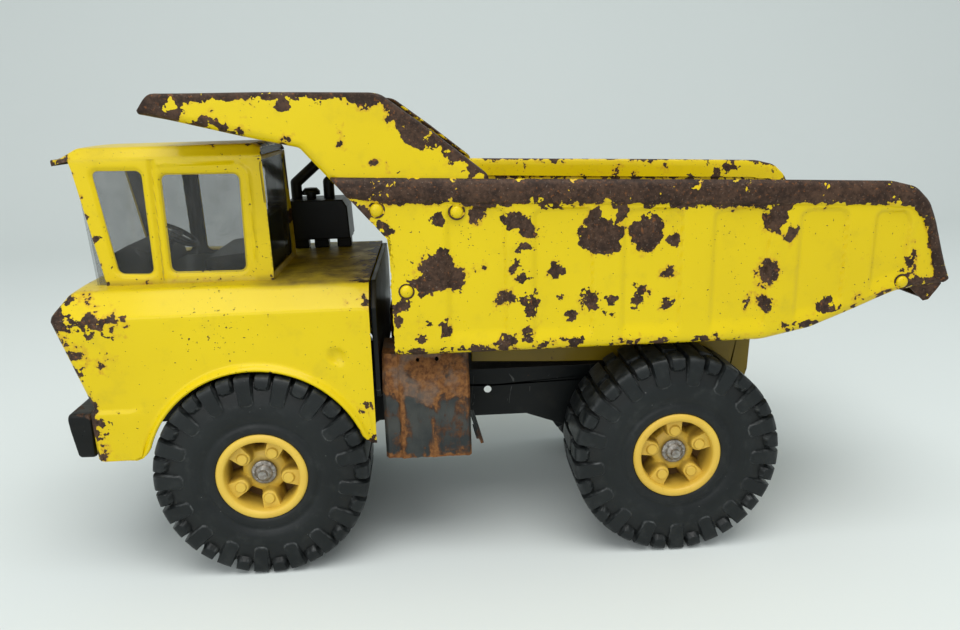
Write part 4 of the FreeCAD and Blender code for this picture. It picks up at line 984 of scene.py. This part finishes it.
def body_face(sheet, ring):
    """The front face: rows across the space inside the last ring."""
    side_rows = 33
    across = ring[side_rows - 1:len(ring) - side_rows + 1]
    face = []
    for i in range(side_rows):
        left, right = ring[i], ring[-1 - i]
        t = (across[:, 1] - across[0, 1]) / (across[-1, 1] - across[0, 1])
        y = left[1] + (right[1] - left[1]) * t
        z = left[2] + (across[:, 2] - across[0, 2]) * (i / (side_rows - 1)) ** 3
        face.append([(face_x(b, c), b, c) for b, c in zip(y, z)])
    face = np.array(face)
    face[:, 0], face[:, -1] = ring[:side_rows], ring[::-1][:side_rows]
    face[-1] = across
    sheet.grid(face, blots(face.reshape(-1, 3), BODY_SPOTS), 0.1)


def arch_lip(sheet, feet, wall, side):
    """A lip rolled outwards round the wheel arch, which becomes a fold along the skirt. wall
    holds the wall's lowest points."""
    count = len(feet)
    rows = []
    for i, foot in enumerate(feet):
        arch = float(ease(i, 0, 4) * ease(i, count - 8, count - 13))
        inwards = np.array((ARCH_X - foot[0], ARCH_Z - foot[1]))
        inwards = inwards / np.linalg.norm(inwards) * arch + np.array((0, -1)) * (1 - arch)
        line = []
        for reach, out, fold in LIP:
            p = np.array(foot) + inwards * reach * (0.2 + 0.8 * arch)
            y = BODY_HALF + out * arch - (1 - arch) * fold * 1.5
            line.append((wall[i, 0] if arch == 0 else p[0], side * y, p[1]))
        rows.append(line)
    rows = np.array(rows)
    rows[:, 0, :2] = wall[:, :2]
    edge_wear = -1.2 + np.tile((-9, -9, -7, -5, -3.6, -2.6, -2.0, -1.6), count)
    sheet.grid(rows, np.maximum(blots(rows.reshape(-1, 3), BODY_PATCHES), edge_wear))


def make_body():
    """Hood, fenders and deck in one pressing with round arches and a leaning front."""
    sheet = Sheet()
    feet = body_feet()
    block = body_rings(feet)
    flat = block.reshape(-1, 3)
    x, y, z = flat.T
    outward = np.sign(y)
    in_wall = np.abs(y) > BODY_HALF - 0.1
    dimple = np.hypot(x - DIMPLE[0], z - DIMPLE[1])
    flat[:, 1] += outward * np.where(in_wall, -2.2 * ease(dimple, 5.8, 3.0), 0)
    skirt = ease(z, CREASE_Z - 0.6, CREASE_Z - 2.2) * ease(x, 200, 212)
    flat[:, 1] += outward * 1.2 * skirt * (np.abs(y) > BODY_HALF - 0.5)
    deck = ease(z, DECK - 2.5, DECK - 0.6)
    flat[:, 2] -= 0.5 * deck * undulation(flat, 30)
    rear_rust = np.where(deck > 0.5, 1.5 - 0.35 * (x - REAR_X), -FAR_FROM_BARE)
    wear = np.maximum(blots(flat, BODY_SPOTS), np.clip(rear_rust, -FAR_FROM_BARE, 1.5))
    sheet.grid(block, wear, deck * (0.16 + 0.74 * ease(x, 150, 120)))
    body_face(sheet, block[-1])
    for side in (1, -1):
        arch_lip(sheet, feet, block[:len(feet), 0 if side > 0 else -1], side)
    piece("hood_and_fenders", sheet, "chassis", YELLOW, ["body_shell"],
          1.0, offset=0.0, weld=0.08)


def body_loop_inset(foot_z, inset):
    """The body's section drawn in by so much, for the round edge at its front."""
    line = np.array(body_half_section(foot_z))
    ahead = np.gradient(line, axis=0)
    length = np.linalg.norm(ahead, axis=1, keepdims=True)
    ahead /= np.maximum(length, 1e-9)
    normal = np.column_stack([ahead[:, 1], -ahead[:, 0]])
    normal[-1] = (0, 1)
    moved = line - normal * inset
    moved[:14, 1] = line[:14, 1]
    moved[-1, 0] = 0
    return [tuple(p) for p in moved] + [(-y, z) for y, z in moved[:-1][::-1]]


def make_bumper():
    """Folded bumper: a leaning front with round corners, bowed out a little in the middle."""
    outline = ((237.0, 88.0), (236.6, 101.4), (249.2, 102.0), (250.4, 99.6), (249.7, 92.0),
               (247.0, 74.9), (237.6, 74.7), (237.0, 88.0))
    section = rounded(sampled(outline, 0.8), 2)[:-1]
    middle = section.mean(axis=0)
    half = 80.0
    ends = ((0.0, 0.02), (0.0, 0.35), (0.0, 0.7), (0.0, 0.86), (0.35, 0.93), (1.1, 0.975),
            (2.2, 1.0))
    places = [(-half + inward, size) for inward, size in ends]
    places += [(y, 1.0) for y in spread(-half + 6, half - 6, 50)]
    places += [(half - inward, size) for inward, size in reversed(ends)]
    block, bare = [], []
    for y, size in places:
        bow = 4.5 * float(ease(abs(y), 50, 20)) * (section[:, 0] > middle[0])
        ring = middle + (section - middle) * size
        block.append([(x + b, y, z) for (x, z), b in zip(ring, bow)])
        corner = ease(np.abs(section[:, 1] - 88.5), 9, 12.5) * (size > 0.8)
        bare.append(-6.0 + 3.6 * corner + 1.6 * float(ease(abs(y), 76, 79)))
    sheet = Sheet()
    sheet.grid(np.array(block), np.array(bare), 0.06, ring=True)
    piece("bumper_channel", sheet, "chassis", BLACK, ["front_bumper"], sharp=50,
          weld=0.005)


make_body()
make_bumper()


# ------------------------------------------------------------------ cab and side steps

CAB_MIDDLE, CAB_ROOF, CAB_EAVE, CAB_FOOT = 18.5, 249.7, 243.4, DECK - 0.4
# the eave's section: how far in from the side wall and how far above the eave
EAVE = ((0, -1.2), (0.1, -0.2), (0.7, 0.6), (1.7, 1.6), (2.9, 3.2), (4.0, 4.7), (5.0, 5.4),
        (6.4, 5.8))
WINDOW_CORNER = 3.4
FRONT_WINDOW = ((226.6, 236.6), (199.6, 236.0), (198.6, 177.8), (218.0, 178.5))
DOOR_WINDOW = ((188.9, 233.5), (145.9, 232.8), (146.3, 178.0), (188.3, 178.5))
CAB_SPOTS = (
    (248, 56, 243, 4.4), (246, 52, 243.4, 4), (243, 56, 243.4, 2.4), (236.5, 57, 236, 0.6),
    (233, 57, 222, 0.5), (231, 59, 212, 0.6), (229, 59, 200, 0.4), (226, 60, 184, 0.7),
    (224.6, 60, 173, 1.4), (131, 60, 173, 1.5), (132, 56, 244, 2.2), (141, 52, 249, 2.5),
    (160, 50, 250, 1.6), (183, 50, 250, 1.4), (132, 40, 249, 5), (132, 0, 249, 5),
    (248, 10, 244, 3), (240, -19, 246, 4), (132, -20, 200, 4), (160, -22, 174, 3),
)


def cab_half(z):
    """Half the cab's width at a height: the side walls lean in."""
    return np.interp(z, (DECK - 1, CAB_EAVE), (41.4, 38.2))


def cab_front(z):
    """Where the windshield frame stands at a height."""
    return np.interp(z, (DECK - 2, 237.0, CAB_EAVE), (224.9, 236.9, 238.6))


def cab_rear(z):
    """Where the rear window's frame stands at a height."""
    return np.interp(z, (DECK - 2, CAB_EAVE), (130.4, 132.3))


def cab_side(sheet, levels, shares, side):
    """Side wall with a quarter window and a door window, and a crease between them."""
    z = np.repeat(levels[:, None], len(shares), axis=1)
    x = cab_rear(z) + (cab_front(z) - cab_rear(z)) * shares
    door = polygon_distance(x, z, DOOR_WINDOW, WINDOW_CORNER)
    away = np.minimum(polygon_distance(x, z, FRONT_WINDOW, WINDOW_CORNER), door)
    y = cab_half(z) - 1.5 * ease(away, 2.4, -0.2)
    frame_line = np.exp(-((door - 6.2) / 0.7) ** 2) * ease(z, 181, 186)
    y += 0.95 * frame_line * (x < 190)
    y -= 1.0 * np.exp(-((x - 193.4) / 1.25) ** 2)
    y -= 0.35 * ease(np.abs(x - 168), 27.5, 26.0) * ease(np.abs(z - 206), 33.5, 32.0)
    block = np.stack([x, CAB_MIDDLE + side * y, z], axis=-1)
    chips = -FAR_FROM_BARE + (FAR_FROM_BARE - 3.4) * ease(away, 0.6, 0.0)
    foot = -0.9 - (z - CAB_FOOT) * 0.8
    bare = np.maximum(blots(block.reshape(-1, 3), CAB_SPOTS),
                      np.maximum(chips, foot).reshape(-1))
    sheet.cut_grid(block, -away, bare, 0.5 * ease(z, 176, 172).reshape(-1))


def cab_roof(sheet, shares):
    """Round eaves, a low crown, and a visor that runs out over the windshield."""
    half = cab_half(CAB_EAVE - 1.2)
    section = [(half - inward, CAB_EAVE + up) for inward, up in EAVE]
    section += [(w, CAB_ROOF - 0.5 * (w / 32) ** 2) for w in spread(half - 8, 0, 14)]
    section += [(-w, z) for w, z in section[:-1][::-1]]
    rows = []
    for w, z in section:
        rise = float(ease(z, CAB_EAVE - 1.2, CAB_EAVE + 0.4))
        rear = cab_rear(min(z, CAB_EAVE)) + 1.2 * float(ease(z, CAB_EAVE, CAB_ROOF))
        reach = cab_front(min(z, CAB_EAVE)) + rise * 8.8
        row = []
        for x in rear + (reach - rear) * shares:
            drop = (z - CAB_EAVE) * float(ease(x, 233, 247.2)) * rise
            drop += (z - CAB_EAVE) * 0.35 * float(ease(x, 138, 133))
            row.append((x, CAB_MIDDLE + w, z - drop))
        x, y, z = row[-1]
        row += [(x + 0.5 * rise, y, z - 0.9 * rise), (x + 0.2 * rise, y, z - 3.4 * rise)]
        rows.append(row)
    rows = np.array(rows)
    flat = rows.reshape(-1, 3)
    edges = np.maximum(3.4 - 0.6 * np.abs(247.6 - flat[:, 0]), 0.4 - 0.6 * (flat[:, 0] - 132.4))
    sheet.grid(rows, np.maximum(blots(flat, CAB_SPOTS), edges), 0.12)


def cab_end(sheet, levels, place, post, low_z, high_z, fold, grime_and_shade):
    """Frame round the windshield or the rear window: posts so wide, and edges that fold in."""
    z = np.repeat(levels[:, None], 64, axis=1)
    across = np.repeat(spread(-1, 1, 64)[None, :], len(levels), axis=0)
    opening = box_distance(across * cab_half(z), z, -cab_half(205) + post,
                           cab_half(205) - post, low_z, high_z, 4)
    block = np.stack([place(z) + fold * ease(opening, 2.4, 0.0),
                      CAB_MIDDLE + across * cab_half(z), z], axis=-1)
    sheet.cut_grid(block, -opening, blots(block.reshape(-1, 3), CAB_SPOTS), grime_and_shade)


def make_cab():
    """Cab pressing: side walls with turned-in window edges, roof, visor and end frames."""
    sheet = Sheet()
    levels = np.concatenate([spread(CAB_FOOT, 176.5, 5)[:-1], spread(176.5, 238.0, 62)[:-1],
                             spread(238.0, CAB_EAVE - 1.2, 5)])
    shares = spread(0, 1, 104)
    for side in (1, -1):
        cab_side(sheet, levels, shares, side)
    cab_roof(sheet, shares)
    cab_end(sheet, levels, cab_front, 4.2, 179.0, 234.5, -1.3, 0.25)
    cab_end(sheet, levels, cab_rear, 2.6, 175.0, 240.0, 1.3, 0.6)
    half = cab_half(CAB_EAVE - 1.2)
    lid = np.array([[(cab_front(CAB_EAVE - 1.2) + 7.6 * t, CAB_MIDDLE + w * (1 - 0.01 * t),
                      CAB_EAVE - 1.2 + 0.4 * t) for w in spread(-half, half, 64)]
                    for t in spread(0, 1, 8)])      # between windshield frame and visor
    sheet.grid(lid, np.full(lid.shape[:2], -1.2))
    piece("cab_pressing", sheet, "chassis", YELLOW, ["cab_shell"], 0.9,
          offset=-1.0, weld=0.06, sharp=40, inner=CAB_INSIDE)


STEP_INNER = 38.5           # where the steps' ends meet the chassis
STEP_FRONT, STEP_REAR, STEP_TOP, STEP_Y = 70.3, 19.8, 128.0, 84.3
RIDGE_X, SEAM_X = 59.6, 40.5            # a raised line, and a worn one
STEP_HOLES = ((49.5, 124.4, 1.1), (38.4, 124.6, 1.2))       # x, z and radius
# torn slivers of sheet: x and z of the root and the tip, and half the width
SLIVERS = ((19.4, 93.0, 13.2, 71.5, 0.9), (17.6, 84.0, 15.6, 74.5, 0.6))


def make_step(name, node, side):
    """Side step: dented plate with a raised line, two holes and a torn rear edge."""
    sheet = Sheet()
    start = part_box(node)[0].z / MM
    xs, zs = spread(STEP_FRONT, STEP_REAR, 70), spread(start + 0.4, STEP_TOP, 86)
    z, x = np.meshgrid(zs, xs, indexing="ij")
    y = STEP_Y - 7.6 * ease(z, 111, 129.5) - 1.1 * ease(z, 109.5, 112.5)
    y += 0.65 * np.exp(-((x - RIDGE_X) / 1.0) ** 2) - 1.5 * ease(x, 60.3, 61.6)
    y -= 2.6 * ease(x, 67.8, STEP_FRONT) ** 2
    sunk = ease(np.abs(x - 46.5), 4.5, 3.2) + ease(np.abs(x - 34.5), 3.4, 2.4)
    y -= 0.5 * sunk * ease(z, 108, 104)
    y -= 2.2 * ease(x, 21.5, STEP_REAR) ** 2
    holes = np.min([np.hypot(x - a, z - b) - radius for a, b, radius in STEP_HOLES], axis=0)
    y -= 0.7 * ease(holes, 1.2, 0.0)
    block = np.stack([x, side * y, z], axis=-1)
    shake = undulation(block.reshape(-1, 3), 13).reshape(x.shape)
    block[:, :, 1] += side * (0.45 * shake - 0.35)
    ragged = np.array([noise.noise(Vector((p / 4.0, side * 3.1, 0))) for p in xs])
    block[0, :, 2] = start + 0.5 + 0.5 * ragged
    ridge = np.exp(-((x - RIDGE_X) / 1.6) ** 2) + 0.5 * np.exp(-((x - SEAM_X) / 2.2) ** 2)
    sheet.cut_grid(block, -holes, None, ridge.reshape(-1))
    # the ends and the top turn inwards to the chassis
    for edge in (block[:, 0], block[:, -1], block[-1]):
        sheet.grid(np.array([[(x, y + (side * STEP_INNER - y) * t, z) for x, y, z in edge]
                             for t in spread(0, 1, 24)]))
    for x0, z0, x1, z1, wide in SLIVERS:
        strip = []
        for t in spread(0, 1, 10):
            p = (x0 + (x1 - x0) * t, z0 + (z1 - z0) * t)
            half = wide * (1 - t) ** 0.7 + 0.08
            strip.append([(p[0] + half * k, side * (79.5 - 1.4 * t + 0.5 * k * k),
                           p[1] + 0.25 * half * k) for k in (-1, -0.5, 0, 0.5, 1)])
        sheet.grid(np.array(strip))
    piece(name, sheet, "chassis", STEP, [node], 0.9, offset=-1.0, weld=0.05)


make_cab()
make_step("step_plate_left", "side_step_left", 1)
make_step("step_plate_right", "side_step_right", -1)


# ------------------------------------------------------------------ wheels

LUGS = 17                   # long ones, and as many short ones between them
WHEEL_RADIUS, WHEEL_MIDDLE = 62.0, 69.0
HUB_FACE, CAP_FACE = 91.0 - WHEEL_MIDDLE, 83.0 - WHEEL_MIDDLE - 0.9
BOLT_CIRCLE, LOBE_HALF = 15.0, 4.8      # the hub's lobes: radius of their bolts, half width
HUB_START = {"front_left": 8.0, "rear_left": 50.0, "front_right": 40.0, "rear_right": 11.0}
TYRE_START = {"front_left": 5.4, "rear_left": 12.0, "front_right": 3.0, "rear_right": 16.0}


def bar(turned, r, own, place, half, tip_r, reach):
    """1 inside a lug's outline, which runs from a round tip at tip_r to y = reach."""
    pitch = 360.0 / LUGS
    local = (turned / pitch - place + 0.5) % 1.0 - 0.5
    off = np.abs(local) * math.radians(pitch) * r
    end = max(tip_r - r if own > 0 else -9.0, reach - own)
    corner = min(3.2, half - 0.6)
    dx, dz = off - half + corner, end + corner
    away = np.hypot(np.maximum(dx, 0), max(dz, 0)) + np.minimum(np.maximum(dx, dz), 0) - corner
    return ease(away, 0.35, -0.45)


def lug_height(turned, r, y):
    """1 on a lug and 0 in a groove: long and short lugs by turns, from both sides."""
    height = np.zeros(len(turned))
    for hand, shift in ((1, 0.0), (-1, 0.5)):
        own = y * hand
        growth = 0.7 * float(ease(r, 46, 60))
        height = np.maximum(height, bar(turned, r, own, shift, 4.1 + growth, 44.4, -7.0))
        height = np.maximum(height, bar(turned, r, own, shift + 0.5, 3.6 + growth, 54.2, 9.5))
    return height


def make_tyre(wheel, centre, outward):
    """Knobbly tyre: a carcass, and lugs that stand on it as one height field."""
    bead = ((25.2, 17.2), (25.6, 19.6), (26.6, 20.9), (28.4, 21.5), (30.8, 21.4), (32.2, 20.7),
            (33.4, 20.5), (35.0, 21.3), (37.4, 22.1), (40.5, 22.4))
    carcass = bead + ((43.8, 22.2), (45.4, 21.9), (48.5, 21.2), (52.0, 20.4), (55.0, 19.4),
                      (57.2, 18.0), (58.4, 16.0), (58.9, 13.0), (59.1, 9.0), (59.2, 4.5),
                      (59.2, 0.0))
    crown = bead + ((43.8, 22.6), (45.6, 22.9), (49.2, 22.95), (53.0, 22.95), (57.0, 22.8),
                    (60.2, 22.3), (61.4, 21.0), (61.8, 18.2), (61.9, 13.0), (61.95, 6.0),
                    (62.0, 0.0))
    both = rounded(sampled(np.array([a + b for a, b in zip(carcass, crown)]), 1.1), 1)
    half = np.vstack([both, both[:-1][::-1] * np.array((1, -1, 1, -1))])
    around = LUGS * 36
    turned = np.arange(around) * 360.0 / around
    start = TYRE_START[wheel]
    angle = np.radians(turned + start)
    block = np.zeros((len(half), around, 3))
    edge, gaps = np.zeros((len(half), around)), np.zeros((len(half), around))
    for i, (r, y, lug_r, lug_y) in enumerate(half):
        share = lug_height(turned, lug_r, lug_y)
        wobble = 1 + 0.0016 * np.sin(angle * 3 + start) * float(ease(lug_r, 50, 60))
        rr, yy = (r + (lug_r - r) * share) * np.minimum(wobble, 1), y + (lug_y - y) * share
        block[i] = about_y(centre, rr, yy * outward, angle)
        # edge is 1 along each lug's outline and on its crown, where the rubber is painted paler:
        # partly wear, partly a painted highlight.
        edge[i] = 4 * share * (1 - share) + ease(lug_r, 58, 61) * 0.3 * share
        gaps[i] = (1 - share) * ease(r, 44, 52) + 0.8 * ease(r, 33.5, 26) + 0.15
    sheet = Sheet()
    sheet.grid(block, edge - FAR_FROM_BARE, gaps, ring=True)
    inside = ((25.2, 17.2), (24.8, 14.0), (24.8, -14.0), (25.2, -17.2))
    sheet.grid(np.array([about_y(centre, r, y * outward, angle) for r, y in inside]), ring=True)
    piece("tyre_casing_" + wheel, sheet, "wheel_" + wheel, RUBBER,
          ["tyre_" + wheel], sharp=50, weld=0.005)


def make_hub(wheel, centre, outward):
    """Moulded hub: rim, deep barrel, and a dished web with five bolted lobes."""
    face = HUB_FACE
    sheet = Sheet()
    rim = ((24.7, face - 41), (24.7, face - 3.2), (26.1, face - 2.7), (26.45, face - 1.7),
           (26.0, face - 0.7), (25.1, face - 0.1), (23.6, face), (22.4, face - 0.25),
           (21.7, face - 0.9), (21.3, face - 2.4), (20.9, face - 8.0), (20.6, face - 20),
           (20.4, face - 39), (20.6, face - 41), (24.7, face - 41))
    angle = spread(0, 2 * math.pi, 121)[:-1]
    # Darker deep in the barrel: painted shade in the recess, with some dirt.
    dirt = np.array((0, 0, 0, 0, 0, 0, 0, 0, 0.05, 0.12, 0.35, 0.9, 1, 1, 1))
    sheet.grid(np.array([about_y(centre, r, y * outward, angle) for r, y in rim]), None,
               np.repeat(dirt, len(angle)), ring=True)
    around = 400
    radii = np.concatenate([spread(2.7, 9.0, 9)[:-1], spread(9.0, 21.2, 36)])
    angle = np.radians(np.arange(around) * 360.0 / around)
    r, a = np.meshgrid(radii, angle, indexing="ij")
    step = math.radians(72)
    local = (a + step / 2) % step - step / 2
    past, off = r * np.cos(local) - BOLT_CIRCLE, np.abs(r * np.sin(local))
    tongue = np.where(past < 0, np.hypot(past, off), off - 0.14 * past) - LOBE_HALF
    bolt = ease(np.hypot(past, off), 3.6, 2.7)
    top = ease(tongue, 0.9, -0.7)
    pocket = ease(r, 12.5, 15.0) * ease(tongue, 0.6, 2.4)
    dish = face - 9.4 - 4.6 * ease(r, 8.2, 19.0)
    height = np.maximum(dish - 7.5 * pocket, face - 14.6 - 4 * pocket)
    height = height + (face - 4.4 - height) * top + 1.5 * bolt
    block = about_y(centre, r, height * outward, a + math.radians(270 - HUB_START[wheel]))
    # Darkest in the pockets between the lobes, round the feet of lobes and bolts, on the outer dish
    # and near the boss: painted shade in the recesses and corners, with some dirt.
    dirt = (0.08 + 1.0 * pocket + 0.55 * 4 * top * (1 - top) + 0.35 * 4 * bolt * (1 - bolt)
            + 0.42 * ease(r, 11, 19) * (1 - top) + 0.55 * ease(r, 10.5, 7.5))
    sheet.grid(block, None, dirt.reshape(-1), ring=True)
    piece("hub_moulding_" + wheel, sheet, "wheel_" + wheel, HUB,
          ["hub_" + wheel], sharp=42, weld=0.005)


def make_cap(wheel, centre, outward):
    """Push nut with a row of punched teeth, and the axle's mushroomed end in its middle."""
    around = 144
    angle = np.radians(np.arange(around) * 360.0 / around)
    profile = ((0.02, 5.6), (1.2, 5.55), (2.2, 5.2), (2.6, 4.6), (2.7, 3.6), (3.2, 3.35),
               (4.2, 3.0), (4.9, 2.2), (5.3, 1.5), (6.0, 1.35), (6.9, 1.3), (7.3, 0.9),
               (7.35, 0.2), (6.6, -0.2), (2.8, -0.2))
    r = np.array([p[0] for p in profile])[:, None] * np.ones(around)
    y = np.array([p[1] for p in profile])[:, None] * np.ones(around)
    teeth = ease(np.cos(angle * 8), 0.55, 0.9)[None, :] * np.exp(-((r - 6.1) / 0.5) ** 2)
    y = y + 0.55 * teeth - 0.35 * np.exp(-((r - 0.9) / 0.8) ** 2) * np.abs(np.sin(angle))[None, :]
    sheet = Sheet()
    sheet.grid(about_y(centre, r, (CAP_FACE + y) * outward, angle), ring=True)
    piece("push_nut_" + wheel, sheet, "chassis", STEEL, ["axle_cap_" + wheel],
          sharp=50, weld=0.005)


for wheel in WHEELS:
    outward = 1 if "left" in wheel else -1
    axle_x = (low("axle_cap_" + wheel).x + high("axle_cap_" + wheel).x) / 2
    hub_centre = (axle_x, WHEEL_MIDDLE * outward, WHEEL_RADIUS)
    for make in (make_tyre, make_hub, make_cap):
        make(wheel, hub_centre, outward)


# ------------------------------------------------------------------ carried-over CAD nodes

EDGE_WIDTHS = {"engine_block": 3.4, "chassis_frame": 0.5,
               "rear_bulkhead": 0.6, "cab_interior": 1.0, "grille": 0.5, "bed_subframe": 0.5}


def finish_node(node, material):
    """Material, slot and softened edges for a CAD node that is shown as it is."""
    shown = frame["nodes"][node]
    shown.data.materials.clear()
    shown.data.materials.append(material)
    if node in EDGE_WIDTHS:
        joined = shown.modifiers.new("joined_corners", "WELD")
        joined.merge_threshold = 0.005 * MM
        edges = shown.modifiers.new("soft_edges", "BEVEL")
        edges.width = EDGE_WIDTHS[node] * MM
        edges.segments = 3
        edges.limit_method = "ANGLE"
        edges.angle_limit = math.radians(30)
        edges.harden_normals = False


SLOT_OF = {row["node"]: row["material_slot"] for row in frame["record"]["subparts"]}
MATERIAL_OF = {
    "yellow_paint": YELLOW, "black_paint": BLACK, "rusty_paint": STEP,
    "black_plastic": BLACK_PLASTIC, "clear_plastic": CLEAR, "lamp_plastic": LAMP,
    "tyre_rubber": RUBBER, "yellow_plastic": HUB, "zinc_steel": STEEL,
}
for title in frame["nodes"]:
    # The subframe takes the darker yellow, which paints in the shadow of the bed above it.
    chosen = SHADED_DIRTY_YELLOW if title == "bed_subframe" else MATERIAL_OF[SLOT_OF[title]]
    finish_node(title, chosen)


# ------------------------------------------------------------------ studio

def make_studio():
    """A pale sweep: level under the truck, curving up into a wall behind it."""
    behind, radius, wide, tall = 1.15, 0.9, 18.0, 5.0
    profile = [(3.2, 0.0), (-behind, 0.0)]
    for angle in range(6, 91, 6):
        a = math.radians(angle)
        profile.append((-behind - radius * math.sin(a), radius * (1 - math.cos(a))))
    profile.append((-behind - radius, tall))
    points, faces = [], []
    for y, z in profile:
        points += [(-wide / 2, y, z), (wide / 2, y, z)]
    for i in range(len(profile) - 1):
        faces.append((2 * i, 2 * i + 1, 2 * i + 3, 2 * i + 2))
    mesh = bpy.data.meshes.new("studio_floor")
    mesh.from_pydata(points, [], faces)
    for polygon in mesh.polygons:
        polygon.use_smooth = True
    floor = bpy.data.objects.new("studio_floor", mesh)
    bpy.context.scene.collection.objects.link(floor)
    paper = Shader("pale_paper")
    paper.set(Base_Color=paper.mix(paper.noise(900, 2), (0.66, 0.70, 0.69), (0.69, 0.725, 0.715)),
              Roughness=0.9, Specular_IOR_Level=0.0)
    mesh.materials.append(paper.material)


def make_light(name, place, target, size, power, colour=(1, 1, 1)):
    """A rectangular area light that faces its target."""
    data = bpy.data.lights.new(name, "AREA")
    data.shape = "RECTANGLE"
    data.size, data.size_y = size
    data.energy = power
    data.color = colour
    light = bpy.data.objects.new(name, data)
    light.location = place
    light.rotation_euler = (Vector(target) - Vector(place)).to_track_quat("-Z", "Y").to_euler()
    bpy.context.scene.collection.objects.link(light)


CAMERA_PLACE = (38.7, 521.7, 264.9)
CAMERA_TURN = (75.54, 1.47, 176.25)     # degrees: tilt, roll and heading


def make_camera():
    """Looks at the truck's left side from a little above it."""
    data = bpy.data.cameras.new("camera")
    data.lens, data.sensor_width = 30.0, 36.0
    data.clip_start = 0.01
    camera = bpy.data.objects.new("camera", data)
    camera.location = Vector(CAMERA_PLACE) * MM
    camera.rotation_euler = [math.radians(a) for a in CAMERA_TURN]
    bpy.context.scene.collection.objects.link(camera)
    bpy.context.scene.camera = camera


make_studio()
make_light("overhead_softbox", (0, 0.68, 1.6), (0, 0.25, 0), (1.5, 1.0), 17, (1, 0.995, 0.97))
make_light("front_fill", (0.9, 1.9, 0.9), (0, 0, 0.12), (1.8, 1.2), 13, (0.97, 0.985, 1.0))
make_light("back_wall_wash", (-0.8, -0.3, 1.9), (0, -1.6, 0.7), (2.4, 1.0), 3, (0.95, 0.99, 1.0))
world = bpy.data.worlds.new("room")
world.use_nodes = True
world.node_tree.nodes["Background"].inputs[0].default_value = (0.90, 0.945, 0.95, 1)
world.node_tree.nodes["Background"].inputs[1].default_value = 0.75
bpy.context.scene.world = world
bpy.context.scene.view_settings.view_transform = "Standard"
make_camera()
